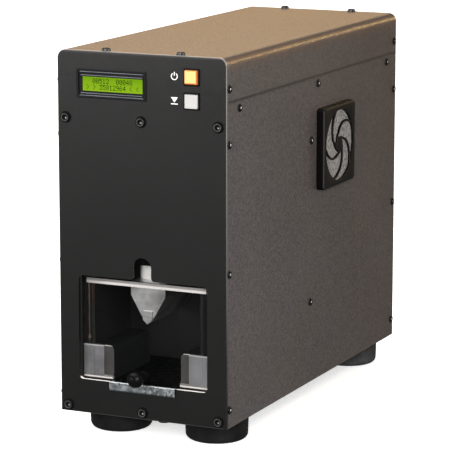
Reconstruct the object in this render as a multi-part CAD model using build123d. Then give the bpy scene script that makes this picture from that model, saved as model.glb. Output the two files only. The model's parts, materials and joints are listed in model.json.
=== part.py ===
# Desktop hard drive crusher: an upright steel cabinet with a screw-driven wedge press behind a sliding clear door.
# Body frame used below: millimetres, +Z up, front faces -Y, X=0 on the cabinet's middle plane, Y=0 at mid depth, Z=0 on the floor.
# save() moves every piece by (DX, DY) so that the row's origin is the middle of the outline on the floor.
from build123d import *
from math import cos, sin, tan, pi, radians, sqrt, acos, atan2
import os

os.makedirs("parts", exist_ok=True)

# ---- driving dimensions ----
W = 266.0            # cabinet width
D = 650.0            # cabinet depth, front panel face to rear panel face
H = 530.0            # cabinet height without feet
FOOT = 38.0          # foot height
TOP = FOOT + H
DX, DY = -5.0, 16.5  # body frame to row origin
T = 1.6              # sheet thickness of sides and cover
PANEL_T = 5.0        # front panel thickness
REAR_T = 2.0
R_CORNER = 12.5      # upper outer edges
SEAM_Z = FOOT + 467.5
HX, HY = W / 2, D / 2
XI = HX - T          # inner face of the side sheets
YF, YFI = -HY, -HY + PANEL_T
YR, YRI = HY, HY - REAR_T

OPEN_X = 102.5       # crush opening in the front panel, half width
OPEN_Z0, OPEN_Z1 = FOOT + 50.3, FOOT + 204.2
OPEN_R = 6.5
NOTCH_R = 14.5
NOTCH_Z = FOOT + 222.8
DOOR_TRAVEL_TOP = NOTCH_Z
KNOB_Y, KNOB_Z, KNOB_R = YF - 22.5, 102.8, 12.4

AX_Y = -253.0        # press axis
WEDGE_HALF = 27.3
WEDGE_TIP_Z = 175.4
RAM_R, RAM_BORE_R = 34.5, 21.5
SCREW_R, JOURNAL_R = 20.0, 15.0
GEAR_M = 2.5
N_SCREW, N_IDLER, N_PINION = 40, 48, 16
IDLER_Y = AX_Y + GEAR_M * (N_SCREW + N_IDLER) / 2
MOTOR_Y = IDLER_Y + GEAR_M * (N_IDLER + N_PINION) / 2
GZ0, GZ1 = 480.0, 498.0

FAN_Y, FAN_Z = 59.0, FOOT + 355.5
GUARD, GUARD_T = 124.0, 13.0

LCD_X0, LCD_X1, LCD_Z0, LCD_Z1 = 31.4 - HX, 141.6 - HX, FOOT + 462.6, FOOT + 504.2
WIN_X0, WIN_X1, WIN_Z0, WIN_Z1 = 39.7 - HX, 135.0 - HX, FOOT + 472.5, FOOT + 493.0
BTN_X = 212.5 - HX
BTN1_Z, BTN2_Z = FOOT + 500.9, FOOT + 467.0
BTN_FRAME, BTN_CAP = 24.6, 19.6

FOOT_X, FOOT_YF, FOOT_YR, FOOT_R = 78.0, -240.0, 267.0, 46.5


def box(x0, x1, y0, y1, z0, z1):
    return Pos((x0 + x1) / 2, (y0 + y1) / 2, (z0 + z1) / 2) * Box(abs(x1 - x0), abs(y1 - y0), abs(z1 - z0))


def cz(r, x, y, z0, z1):
    return Pos(x, y, (z0 + z1) / 2) * Cylinder(r, abs(z1 - z0))


def cy(r, x, z, y0, y1):
    return Pos(x, (y0 + y1) / 2, z) * Rot(90, 0, 0) * Cylinder(r, abs(y1 - y0))


def cx(r, y, z, x0, x1):
    return Pos((x0 + x1) / 2, y, z) * Rot(0, 90, 0) * Cylinder(r, abs(x1 - x0))


def prism_y(pts, y0, y1):
    """A polygon in X,Z swept from y0 to y1."""
    f = Pos(0, y1, 0) * Rot(90, 0, 0) * make_face(Polyline(*pts, close=True))
    return extrude(f, amount=abs(y1 - y0), dir=(0, -1, 0))


def prism_x(pts, x0, x1):
    """A polygon in Y,Z swept from x0 to x1."""
    f = Plane(origin=(x0, 0, 0), x_dir=(0, 1, 0), z_dir=(1, 0, 0)) * make_face(Polyline(*pts, close=True))
    return extrude(f, amount=abs(x1 - x0), dir=(1, 0, 0))


def solids(*things):
    out = []
    for t in things:
        if isinstance(t, (list, tuple)):
            out += solids(*t)
        else:
            out += list(t.solids())
    return out


def save(name, *things):
    s = [Pos(DX, DY, 0) * x for x in solids(*things)]
    shape = s[0] if len(s) == 1 else Compound(children=s)
    shape.label = name
    export_step(shape, f"parts/{name}.step")


def arch(y0, y1, inset=0.0, z0=FOOT):
    """The cabinet's cross-section, flat below and rounded at both upper edges."""
    r = R_CORNER - inset
    sk = Pos(0, (TOP - inset + z0) / 2) * Rectangle(2 * (HX - inset), TOP - inset - z0)
    sk = fillet(sk.vertices().sort_by(Axis.Y)[-2:], r)
    f = Pos(0, y1, 0) * Rot(90, 0, 0) * sk
    return extrude(f, amount=abs(y1 - y0), dir=(0, -1, 0))


# ---- fasteners: (head radius, head height, shank radius, shank length) ----
SMALL = (4.7, 2.6, 2.35, 11.0)
TALL = (5.6, 4.6, 2.35, 9.0)
LARGE = (7.0, 4.0, 3.9, 14.0)


def button_head(kind, p, d):
    """A button-head socket screw whose head's underside is at p and whose shank points along -d."""
    hr, hh, sr, sl = kind
    head = Pos(0, 0, hh / 2) * Cylinder(hr, hh)
    head = fillet(head.edges().sort_by(Axis.Z)[-1:], hh * 0.62)
    hexa = extrude(RegularPolygon(hr * 0.42, 6), amount=hh * 0.7)
    s = head - Pos(0, 0, hh * 0.45) * hexa + Pos(0, 0, -sl / 2) * Cylinder(sr, sl)
    return Plane(origin=p, z_dir=d).location * s


def shank_hole(kind, p, d, extra):
    hr, hh, sr, sl = kind
    return Plane(origin=p, z_dir=d).location * (Pos(0, 0, -sl / 2) * Cylinder(sr + extra, sl + 2.0))


side_pts = [(8.5, 486.3), (641.5, 486.3), (43, 456), (326, 456), (609, 456)]
side_pts += [(y, z) for y in (8.5, 641.5) for z in (408, 223.7, 27)] + [(301, 372.6), (301.4, 125.0)]
side_screws, side_holes_l, side_holes_r = [], [], []
for y, z in side_pts:
    for s in (-1, 1):
        p, d = (s * HX, y - HY, z + FOOT), (s, 0, 0)
        side_screws.append(button_head(SMALL, p, d))
        (side_holes_l if s < 0 else side_holes_r).append(shank_hole(SMALL, p, d, 0.15))
top_pts = [(s * 58.6, y - HY) for s in (-1, 1) for y in (8.5, 641.5)]
top_screws = [button_head(TALL, (x, y, TOP), (0, 0, 1)) for x, y in top_pts]
top_holes = [shank_hole(SMALL[:3] + (9.0,), (x, y, TOP), (0, 0, 1), 0.15) for x, y in top_pts]
front_pts = [(s * 120.2, z + FOOT) for s in (-1, 0, 1) for z in (433, 10)]
front_screws = [button_head(LARGE if abs(x) > 1 or z > 200 else LARGE[:3] + (10.0,), (x, YF, z), (0, -1, 0)) for x, z in front_pts]
front_holes = [shank_hole(LARGE if abs(x) > 1 or z > 200 else LARGE[:3] + (10.0,), (x, YF, z), (0, -1, 0), 0.2) for x, z in front_pts]
rear_pts = [(s * 122.4, z + FOOT) for s in (-1, 1) for z in (20, 180, 350, 500)]
rear_screws = [button_head(SMALL, (x, YR, z), (0, 1, 0)) for x, z in rear_pts]
rear_holes = [shank_hole(SMALL, (x, YR, z), (0, 1, 0), 0.15) for x, z in rear_pts]


def near(holes, shape, pad=1.0):
    b = shape.bounding_box()
    out = []
    for h in holes:
        c = h.bounding_box()
        if all(getattr(c.min, a) < getattr(b.max, a) + pad and getattr(c.max, a) > getattr(b.min, a) - pad for a in "XYZ"):
            out.append(h)
    return out


ALL_HOLES = side_holes_l + side_holes_r + top_holes + front_holes + rear_holes


def drill(shape, holes=None):
    hs = near(ALL_HOLES if holes is None else holes, shape)
    return shape - hs if hs else shape


# ---- cabinet ----
panel = arch(YF, YFI)
opening = box(-OPEN_X, OPEN_X, YF - 1, YFI + 1, OPEN_Z0, OPEN_Z1)
opening = fillet(opening.edges().filter_by(Axis.Y), OPEN_R)
notch = box(-NOTCH_R, NOTCH_R, YF - 1, YFI + 1, OPEN_Z1 - 5, NOTCH_Z) + cy(NOTCH_R, 0, NOTCH_Z, YF - 1, YFI + 1)
flare = []
FL = 5.0
for s in (-1, 1):
    f = box(s * NOTCH_R, s * (NOTCH_R + FL), YF - 1, YFI + 1, OPEN_Z1 - 1, OPEN_Z1 + FL) - cy(FL, s * (NOTCH_R + FL), OPEN_Z1 + FL, YF - 2, YFI + 2)
    flare.append(f)
panel = panel - opening - notch - flare[0] - flare[1]
panel -= box(LCD_X0 + 3.2, LCD_X1 - 3.2, YF - 1, YFI + 1, LCD_Z0 + 5, LCD_Z1 - 5)
for z in (BTN1_Z, BTN2_Z):
    panel -= box(BTN_X - 11.2, BTN_X + 11.2, YF - 1, YFI + 1, z - 11.2, z + 11.2)
panel = drill(panel)
outer_front = [e for e in panel.faces().sort_by(Axis.Y)[0].outer_wire().edges()]
try:
    panel = chamfer(outer_front, 0.9)
except Exception as e:
    print("front panel edge left sharp:", e)
save("front_panel", panel)

cover = arch(YFI, YRI, 0, SEAM_Z) - arch(YFI - 1, YRI + 1, T, SEAM_Z - 5)
save("top_cover", drill(cover))
left = box(-HX, -XI, YFI, YRI, FOOT, SEAM_Z - 0.3)
save("left_side_panel", drill(left))
right = box(XI, HX, YFI, YRI, FOOT, SEAM_Z - 0.3) - cx(57, FAN_Y, FAN_Z, XI - 1, HX + 1)
FAN_SCREWS = [(FAN_Y + a * 52.5, FAN_Z + b * 52.5) for a in (-1, 1) for b in (-1, 1)]
for y, z in FAN_SCREWS:
    right -= cx(2.3, y, z, XI - 1, HX + 1)
save("right_side_panel", drill(right))

INLET_X, ROCK_X, FUSE_X, REAR_Z = -92.0, -44.0, -12.0, 84.0
rear = arch(YRI, YR)
rear -= box(INLET_X - 13.7, INLET_X + 13.7, YRI - 1, YR + 1, REAR_Z - 10.2, REAR_Z + 10.2)
rear -= box(ROCK_X - 13.5, ROCK_X + 13.5, YRI - 1, YR + 1, REAR_Z - 9.5, REAR_Z + 9.5)
rear -= cy(6.3, FUSE_X, REAR_Z, YRI - 1, YR + 1)
for ix in range(4):
    for iz in range(9):
        xc, zc = -63 + ix * 42, 330 + iz * 14
        slot = box(xc - 13, xc + 13, YRI - 1, YR + 1, zc - 2, zc + 2) + cy(2, xc - 13, zc, YRI - 1, YR + 1) + cy(2, xc + 13, zc, YRI - 1, YR + 1)
        rear -= slot
save("rear_panel", drill(rear))

base = box(-XI, XI, YFI, YRI, FOOT, FOOT + 4)
foot_xy = [(s * FOOT_X, y) for y in (FOOT_YF, FOOT_YR) for s in (-1, 1)]
bed_xy = [(s * 20, y) for s in (-1, 1) for y in (-295, -205)]
for x, y in foot_xy:
    base -= cz(5.3, x, y, FOOT - 1, FOOT + 5)
for x, y in bed_xy:
    base -= cz(6.3, x, y, FOOT - 1, FOOT + 5)
save("base_plate", base)

Z0 = FOOT + 4
posts = [box(s * (XI - 18), s * XI, y0, y1, Z0, 553) for s in (-1, 1) for y0, y1 in ((YFI, YFI + 14), (YRI - 14, YRI))]
mids = [box(s * (XI - 14), s * XI, -33, -15, Z0, 488) for s in (-1, 1)]
save("frame_posts", [drill(p) for p in posts + mids])
rails = [box(s * (XI - 14), s * XI, YFI + 14, YRI - 14, 488, 500) for s in (-1, 1)]
PX = XI - 18
cross = [
    box(-PX, PX, YFI, YFI + 9, 464, 478), box(-PX, PX, YFI, YFI + 5, Z0, 56),
    box(-118, 118, YFI, YFI + 9, 557, TOP - T), box(-118, 118, YRI - 9, YRI, 557, TOP - T),
    box(-PX, PX, YRI - 9, YRI, 464, 478),
]
save("frame_rails", [drill(p) for p in rails + cross])

feet, bolts = [], []
for i, (x, y) in enumerate(foot_xy):
    f = cz(FOOT_R, x, y, 0, FOOT)
    f = fillet(f.edges().sort_by(Axis.Z)[:1], 9.0)
    f = f - cz(13, x, y, -1, 16) - cz(5.3, x, y, 10, FOOT + 1)
    feet.append(f)
    top = 60 if y < 0 else 54
    bolts.append(cz(9, x, y, 8, 16) + cz(5, x, y, 16, top) - Pos(x, y, 10) * extrude(RegularPolygon(4.4, 6), amount=-6))
save("rubber_feet", feet)
bolts += [Pos(x, y, Z0) * extrude(RegularPolygon(9.5, 6), amount=8) - cz(5.2, x, y, Z0 - 1, Z0 + 9) for x, y in foot_xy[2:]]
save("foot_bolts", bolts)

# ---- press ----
PY0, PY1 = -309.5, -190.0
bed = box(-89, 89, PY0, PY1, Z0, 87)
for x, y in foot_xy[:2]:
    bed -= cz(5.3, x, y, Z0 - 1, 62)
for x, y in bed_xy:
    bed -= cz(6.3, x, y, Z0 - 1, 72)
save("press_bed", bed)
press_bolts = [cz(9, x, y, FOOT - 8, FOOT) + cz(6, x, y, FOOT, 70) - Pos(x, y, FOOT - 5) * extrude(RegularPolygon(5, 6), amount=-6) for x, y in bed_xy]
crown_xy = [(s * 95, y) for s in (-1, 1) for y in (-298, -250, -202)]
plates = []
for s in (-1, 1):
    p = box(s * 89, s * 101, PY0, PY1, Z0, 452)
    for x, y in crown_xy:
        if x * s > 0:
            p -= cz(4.3, x, y, 424, 453)
    plates.append(p)
save("press_side_plates", plates)
save("chamber_liners", [box(s * 84.5, s * 89, PY0, PY1 - 5, 87, 292) for s in (-1, 1)], box(-84.5, 84.5, PY1 - 5, PY1, 87, 292))
anvils = []
for s in (-1, 1):
    a = box(s * 53.9, s * 84.5, PY0, -195, 87, 138)
    e = [q for q in a.edges().filter_by(Axis.Y) if abs(abs(q.center().X) - 53.9) < 0.1 and q.center().Z > 130]
    anvils.append(fillet(e, 6.0))
save("anvils", anvils)
lplates = []
for s in (-1, 1):
    l = box(s * 68.2, s * 101, PY0 - 4, PY0, 87, 138) + box(s * 53.9, s * 68.3, PY0 - 4, PY0, 87, 95)
    lplates.append(l)
save("support_plates", lplates)
save("cross_bar", box(-95.5, 95.5, PY0 - 4, PY0, 229.5, 237))
save("upper_guard_plate", box(-101, 101, PY0 - 4, PY0, 262.3, 304))
guide = box(-89, 89, PY0, PY1, 292, 322) - cz(40, 0, AX_Y, 291, 323)
key_pocket = box(-4, 4, AX_Y + 33.5, AX_Y + 44.5, 299, 315)
save("guide_plate", guide - key_pocket)
save("guide_bush", cz(39.95, 0, AX_Y, 292, 322) - cz(RAM_R + 0.08, 0, AX_Y, 291, 323) - key_pocket)
save("ram_key", box(-3.9, 3.9, AX_Y + 31.9, AX_Y + 44.4, 299.1, 314.9))
crown = box(-101, 101, PY0, 5, 452, 477)
crown = crown - cz(20, 0, AX_Y, 451, 478) - cz(10.1, 0, IDLER_Y, 464, 478) - cz(15, 0, MOTOR_Y, 451, 478)
for x, y in crown_xy:
    crown -= cz(4.3, x, y, 451, 478)
save("crown_plate", crown)
press_bolts += [cz(7, x, y, 477, 485) + cz(4, x, y, 426, 477) - Pos(x, y, 480) * extrude(RegularPolygon(4, 6), amount=6) for x, y in crown_xy]
save("press_bolts", press_bolts)
save("screw_bearings", cz(19.95, 0, AX_Y, 452, 477) - cz(JOURNAL_R + 0.05, 0, AX_Y, 451, 478), cz(31, 0, AX_Y, 441.1, 452) - cz(JOURNAL_R + 0.6, 0, AX_Y, 440, 453), cz(23, 0, AX_Y, 477, 479.9) - cz(JOURNAL_R + 0.6, 0, AX_Y, 476, 481), cz(17, 0, IDLER_Y, 477, 479.9) - cz(10.3, 0, IDLER_Y, 476, 481))
save("idler_pin", cz(10, 0, IDLER_Y, 464.5, 498.3) + cz(14, 0, IDLER_Y, 498.3, 502))
motor = cz(58, 0, MOTOR_Y, 268, 436) + box(-60, 60, MOTOR_Y - 60, MOTOR_Y + 60, 436, 452) + cz(46, 0, MOTOR_Y, 250, 268)
motor = motor - cz(9.4, 0, MOTOR_Y, 400, 453)
save("drive_motor", motor)
save("rear_columns", [box(s * 85, s * 97, -12, 0, Z0, 452) for s in (-1, 1)])

# moving: screw, gears, ram


def gear(n, bore, x, y, z0, z1, tooth_at, backlash=0.35):
    """A spur gear with straight-chord involute flanks; tooth_at is the angle of a tooth's middle, in degrees."""
    m, pa = GEAR_M, radians(20)
    rp, ra, rf = m * n / 2, m * n / 2 + m * 0.98, m * n / 2 - 1.25 * m
    rb = rp * cos(pa)
    half = (pi * m / 2 - backlash) / (2 * rp)
    inv_p = tan(pa) - pa
    rs = max(rb, rf)
    prof = []
    for k in range(5):
        r = rs + (ra - rs) * k / 4
        a = acos(min(1, rb / r))
        prof.append((r, half + inv_p - (tan(a) - a)))
    pts = []
    for i in range(n):
        c = radians(tooth_at) + 2 * pi * i / n
        left_f = [(r, c - t) for r, t in prof]
        right_f = [(r, c + t) for r, t in reversed(prof)]
        if rs > rf:
            left_f = [(rf, left_f[0][1])] + left_f
            right_f = right_f + [(rf, right_f[-1][1])]
        pts += [(x + r * cos(t), y + r * sin(t)) for r, t in left_f + right_f]
    f = make_face(Polyline(*pts, close=True))
    g = Pos(0, 0, z0) * extrude(f, amount=z1 - z0)
    return g - cz(bore, x, y, z0 - 1, z1 + 1)


key = box(-2.45, 2.45, AX_Y + 12.6, AX_Y + 17.4, 481, 497)
keyway = box(-2.5, 2.5, AX_Y + 12.5, AX_Y + 17.5, 480, 498)
screw = cz(SCREW_R, 0, AX_Y, 292, 437) + cz(30, 0, AX_Y, 437, 441) + cz(JOURNAL_R, 0, AX_Y, 441, 498)
screw = chamfer(screw.edges().sort_by(Axis.Z)[:1], 2.0)
save("power_screw", screw - box(-2.5, 2.5, AX_Y + 12.5, AX_Y + 17.5, 480, 499))
sg = gear(N_SCREW, JOURNAL_R + 0.05, 0, AX_Y, GZ0, GZ1, 90)
for i in range(5):
    a = radians(18 + 72 * i)
    sg -= cz(8, 31 * cos(a), AX_Y + 31 * sin(a), GZ0 - 1, GZ1 + 1)
save("screw_gear", sg - keyway)
save("gear_fixings", key, cz(20, 0, AX_Y, 498, 501) + cz(7, 0, AX_Y, 501, 505))
# idler: a gap faces the screw gear's tooth at -Y
ig = gear(N_IDLER, 14.0, 0, IDLER_Y, GZ0, GZ1, -90 + 180.0 / N_IDLER)
for i in range(6):
    a = radians(60 * i)
    ig -= cz(11, 36 * cos(a), IDLER_Y + 36 * sin(a), GZ0 - 1, GZ1 + 1)
save("idler_gear", ig)
save("idler_bush", cz(13.95, 0, IDLER_Y, GZ0, GZ1) - cz(10.06, 0, IDLER_Y, GZ0 - 1, GZ1 + 1))
# pinion: idler at +Y has (48 teeth, half turn) a gap, so the pinion has a tooth at -Y
pg = gear(N_PINION, 9.02, 0, MOTOR_Y, GZ0, GZ1, -90)
save("motor_pinion", pg)
save("motor_shaft", cz(9.0, 0, MOTOR_Y, 404, 500))

ram = cz(RAM_R, 0, AX_Y, 236, 385) - cz(RAM_BORE_R, 0, AX_Y, 240, 386) - cz(26, 0, AX_Y, 355, 386)
ram -= box(-4.3, 4.3, AX_Y + 31.5, AX_Y + 36, 240, 386)
save("ram_tube", ram)
save("ram_nut", cz(25.95, 0, AX_Y, 355, 385) - cz(SCREW_R + 0.06, 0, AX_Y, 354, 386))
WY0, WY1 = -306.0, -198.0
wedge = prism_y([(-WEDGE_HALF, 236), (-WEDGE_HALF, 216), (-7.5, 181.5), (7.5, 181.5), (WEDGE_HALF, 216), (WEDGE_HALF, 236)], WY0, WY1)
wedge -= box(-7.5, 7.5, WY0 - 1, WY1 + 1, 170, 194.5)
save("crush_wedge", wedge)
tip = prism_y([(-7.4, 194.5), (-7.4, 181.5), (0, WEDGE_TIP_Z), (7.4, 181.5), (7.4, 194.5)], WY0 - 2.8, WY1)
save("wedge_tip", tip)

# ---- door and tray ----
door = box(-112, 112, -319.6, -314.6, 90.6, 279)
door -= cy(4.2, 0, KNOB_Z, -320, -314)
save("door_sheet", door)
stud = cy(7, 0, KNOB_Z, -322.6, -319.6) + cy(4, 0, KNOB_Z, KNOB_Y + 2, -314.8)
save("knob_stud", stud)
ball = Pos(0, KNOB_Y, KNOB_Z) * Sphere(KNOB_R)
ball = ball - cy(4.1, 0, KNOB_Z, KNOB_Y + 1.5, KNOB_Y + 20) - cy(9, 0, KNOB_Z, KNOB_Y + KNOB_R - 1.2, KNOB_Y + 20)
save("door_knob", ball)
tracks = []
for s in (-1, 1):
    tracks.append(box(s * 103.5, s * PX, -314.2, -312.2, 84, 456) + box(s * 112.5, s * PX, YFI, -314.2, 84, 456))
save("door_tracks", tracks, [box(s * 104, s * 112, -319.8, -314.4, 85, 90.6) for s in (-1, 1)])
tray = box(-51.8, 51.8, YF - 3.3, -196, 88.6, 89.8) + box(-51.8, 51.8, -197.2, -196, 89.8, 100)
lip = box(-52.35, 52.35, YF - 3.4, YF - 2.2, 76.5, 89.8)
tray = tray + lip
e = [q for q in tray.edges().filter_by(Axis.X) if abs(q.center().Y - (YF - 3.4)) < 0.05 and abs(q.center().Z - 89.8) < 0.05]
try:
    tray = fillet(e, 1.1)
except Exception as ex:
    print("tray lip corner left sharp:", ex)
save("debris_tray", tray)

# ---- front controls ----
bezel = box(LCD_X0, LCD_X1, YF - 2, YF, LCD_Z0, LCD_Z1) - box(WIN_X0, WIN_X1, YF - 3, YF + 1, WIN_Z0, WIN_Z1)
bezel = fillet([q for q in bezel.edges().filter_by(Axis.Y) if abs(q.center().X - LCD_X0) < 0.1 or abs(q.center().X - LCD_X1) < 0.1], 1.2)
save("display_bezel", bezel)
screen = (box(LCD_X0 + 3.6, LCD_X1 - 3.6, YF + 0.3, YFI, LCD_Z0 + 5.4, LCD_Z1 - 5.4))
save("display_module", screen, box(LCD_X0 - 1, LCD_X1 + 3, YFI, YFI + 1.6, LCD_Z0, LCD_Z1 - 1))


def button_housing(z):
    h = box(BTN_X - BTN_FRAME / 2, BTN_X + BTN_FRAME / 2, YF - 2, YF, z - BTN_FRAME / 2, z + BTN_FRAME / 2)
    h = fillet(h.edges().filter_by(Axis.Y), 1.5)
    h = h + box(BTN_X - 11, BTN_X + 11, YF, YF + 24, z - 11, z + 11)
    return h - box(BTN_X - 10.1, BTN_X + 10.1, YF - 3, YF + 18, z - 10.1, z + 10.1)


def button_cap(z):
    c = box(BTN_X - BTN_CAP / 2, BTN_X + BTN_CAP / 2, YF - 4, YF + 13, z - BTN_CAP / 2, z + BTN_CAP / 2)
    c = fillet(c.edges().filter_by(Axis.Y), 1.0)
    return fillet(c.faces().sort_by(Axis.Y)[0].edges(), 0.7)


save("button_housings", button_housing(BTN1_Z), button_housing(BTN2_Z))
save("power_button", button_cap(BTN1_Z))
save("start_button", button_cap(BTN2_Z))

# ---- fan on the right side ----
FX0 = XI - 25
frame = box(FX0, XI, FAN_Y - 60, FAN_Y + 60, FAN_Z - 60, FAN_Z + 60)
frame = fillet(frame.edges().filter_by(Axis.X), 6) - cx(58, FAN_Y, FAN_Z, FX0 - 1, XI + 1)
for y, z in FAN_SCREWS:
    frame -= cx(2.3, y, z, FX0 - 1, XI + 1)
spider = cx(21, FAN_Y, FAN_Z, FX0, FX0 + 2.5)
for i in range(4):
    spider += Pos(FX0 + 1.25, FAN_Y, FAN_Z) * Rot(45 + 90 * i, 0, 0) * Pos(0, 0, 39.5) * Box(2.5, 5, 39)
save("fan_frame", frame + spider)
rotor = cx(20, FAN_Y, FAN_Z, FX0 + 3.2, XI - 2)
rotor = fillet(rotor.edges().sort_by(Axis.X)[-1:], 2.0)
for i in range(7):
    blade = Pos(0, 0, 37.6) * Rot(0, 0, 38) * Box(2.0, 26, 37.6)
    rotor += Pos((FX0 + XI) / 2 + 0.8, FAN_Y, FAN_Z) * Rot(360 / 7 * i, 0, 0) * blade
save("fan_rotor", rotor)
guard = box(HX, HX + GUARD_T, FAN_Y - GUARD / 2, FAN_Y + GUARD / 2, FAN_Z - GUARD / 2, FAN_Z + GUARD / 2)
guard = fillet(guard.edges().filter_by(Axis.X), 5)
guard = chamfer(guard.faces().sort_by(Axis.X)[-1].edges(), 2.0)
guard = guard - cx(54, FAN_Y, FAN_Z, HX - 1, HX + GUARD_T + 1)
for y, z in FAN_SCREWS:
    guard -= cx(4.6, y, z, HX - 1, HX + 2.6)
def arm_angle(r, rim):
    """Angle of a guard arm at radius r, in degrees: a steady sweep that curls near the hub."""
    return rim + (54.0 - r) * 1.78 + (max(0.0, 20.0 - r) ** 2) * 0.42


for i in range(5):
    lf, rt = [], []
    for k in range(13):
        r = 10.0 + (55.2 - 10.0) * k / 12
        a, a2 = radians(arm_angle(r, 105 - 72 * i)), radians(arm_angle(r + 0.2, 105 - 72 * i))
        u, v = r * cos(a), r * sin(a)
        tu, tv = (r + 0.2) * cos(a2) - u, (r + 0.2) * sin(a2) - v
        n = sqrt(tu * tu + tv * tv)
        w = 2.8 + 0.6 * k / 12
        lf.append((FAN_Y + u - tv / n * w / 2, FAN_Z + v + tu / n * w / 2))
        rt.append((FAN_Y + u + tv / n * w / 2, FAN_Z + v - tu / n * w / 2))
    guard += prism_x(lf + rt[::-1], HX + 9.6, HX + 12.4)
guard += cx(12, FAN_Y, FAN_Z, HX + 9.6, HX + 12.6)
save("fan_guard", guard)
save("fan_filter", cx(53.8, FAN_Y, FAN_Z, HX + 0.5, HX + 9.4))
fan_screws = ([cx(4.2, y, z, HX, HX + 2.2) + cx(2.1, y, z, FX0 + 1, HX) for y, z in FAN_SCREWS])

# ---- power and electronics ----
save("power_supply", fillet(box(5, 105, 60, 220, Z0, 92).edges().filter_by(Axis.Z), 2))
bx0, bx1, by0, by1, bz = -112.0, -12.0, 60.0, 240.0, 54.0
board = box(bx0, bx1, by0, by1, bz, bz + 1.6)
so_xy = [(x, y) for x in (bx0 + 5, bx1 - 5) for y in (by0 + 5, by1 - 5)]
zt = bz + 1.6
save("control_board", board, [cz(3.5, x, y, Z0, bz) for x, y in so_xy], [
    cz(9, bx0 + 22, by0 + 25, zt, zt + 30), cz(9, bx0 + 44, by0 + 25, zt, zt + 30), cz(6, bx0 + 62, by0 + 22, zt, zt + 20),
    box(bx0 + 14, bx0 + 44, by0 + 60, by0 + 76, zt, zt + 16), box(bx0 + 52, bx0 + 82, by0 + 60, by0 + 76, zt, zt + 16),
    box(bx0 + 30, bx0 + 56, by0 + 100, by0 + 126, zt, zt + 3), box(bx0 + 12, bx0 + 20, by0 + 95, by0 + 140, zt, zt + 10),
    box(bx0 + 80, bx0 + 88, by0 + 95, by0 + 150, zt, zt + 10), box(bx0 + 32, bx0 + 70, by0 + 145, by0 + 168, zt, zt + 24),
])
inlet = box(INLET_X - 25, INLET_X + 25, YR, YR + 2.5, REAR_Z - 14, REAR_Z + 14)
inlet = fillet(inlet.edges().filter_by(Axis.Y), 3)
inlet += box(INLET_X - 13.4, INLET_X + 13.4, YR - 18, YR, REAR_Z - 9.9, REAR_Z + 9.9)
sock = box(INLET_X - 12, INLET_X + 12, YR - 15.5, YR + 3, REAR_Z - 8.3, REAR_Z + 8.3)
inlet = inlet - sock
for dx, dz in ((-7, -2), (7, -2), (0, 2)):
    inlet += box(INLET_X + dx - 1, INLET_X + dx + 1, YR - 16, YR - 4.5, REAR_Z + dz - 2, REAR_Z + dz + 2)
for s in (-1, 1):
    inlet -= cy(1.8, INLET_X + s * 20, REAR_Z, YR - 1, YR + 3)
save("power_inlet", inlet)
sw = fillet(box(ROCK_X - 15, ROCK_X + 15, YR, YR + 2, REAR_Z - 11, REAR_Z + 11).edges().filter_by(Axis.Y), 1.5)
sw += box(ROCK_X - 13.2, ROCK_X + 13.2, YR - 20, YR, REAR_Z - 9.2, REAR_Z + 9.2)
sw -= box(ROCK_X - 11.6, ROCK_X + 11.6, YR - 14, YR + 3, REAR_Z - 7.6, REAR_Z + 7.6)
save("power_switch_housing", sw)
# rocker: pivots about a Z axis line at (ROCK_X, YR - 3); drawn pressed in on one side
rk = [(-10.6, -4.0), (-10.6, 4.6), (0, 1.6), (10.6, 4.6), (10.6, -4.0), (4, -7.0), (-4, -7.0)]
rf = make_face(Polyline(*[(px, py) for px, py in rk], close=True))
rocker = Pos(0, 0, -7.2) * extrude(rf, amount=14.4)
save("power_rocker", Pos(ROCK_X, YR - 3, REAR_Z) * Rot(0, 0, 9) * rocker)
fuse = cy(8.5, FUSE_X, REAR_Z, YR, YR + 4) + cy(6.1, FUSE_X, REAR_Z, YR - 30, YR)
fuse -= box(FUSE_X - 6, FUSE_X + 6, YR + 3, YR + 5, REAR_Z - 0.8, REAR_Z + 0.8)
save("fuse_holder", fuse)

# ---- screws ----
save("cover_screws", side_screws, top_screws, rear_screws, fan_screws)
save("front_screws", front_screws)
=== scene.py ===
# A desktop hard drive crusher: finishes and fine detail around the fixed frame.
import bpy, bmesh, json, math
from mathutils import Vector, Matrix


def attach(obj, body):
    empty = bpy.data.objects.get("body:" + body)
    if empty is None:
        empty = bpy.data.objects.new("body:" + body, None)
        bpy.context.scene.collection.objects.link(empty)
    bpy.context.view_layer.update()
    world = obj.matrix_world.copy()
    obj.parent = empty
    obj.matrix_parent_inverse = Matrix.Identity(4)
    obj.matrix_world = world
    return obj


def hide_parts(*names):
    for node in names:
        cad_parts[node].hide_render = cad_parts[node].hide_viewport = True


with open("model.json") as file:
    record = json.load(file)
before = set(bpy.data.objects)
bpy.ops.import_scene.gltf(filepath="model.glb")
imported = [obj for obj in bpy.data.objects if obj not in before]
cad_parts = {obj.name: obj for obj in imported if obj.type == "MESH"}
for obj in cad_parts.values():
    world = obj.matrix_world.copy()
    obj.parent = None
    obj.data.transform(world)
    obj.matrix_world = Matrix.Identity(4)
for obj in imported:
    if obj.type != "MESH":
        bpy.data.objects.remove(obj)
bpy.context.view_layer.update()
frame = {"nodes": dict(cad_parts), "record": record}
NODES = frame["nodes"]

# Body frame in millimetres (X=0 middle, Y=0 mid depth, Z=0 floor) to the row frame in metres.
DX, DY = -5.0, 16.5
def P(x, y, z):
    return Vector(((x + DX) / 1000.0, (y + DY) / 1000.0, z / 1000.0))

HX, HY, FOOT, TOP = 133.0, 325.0, 38.0, 568.0
YF, YFI, YR, YRI = -325.0, -320.0, 325.0, 323.0
XI = HX - 1.6

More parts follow.
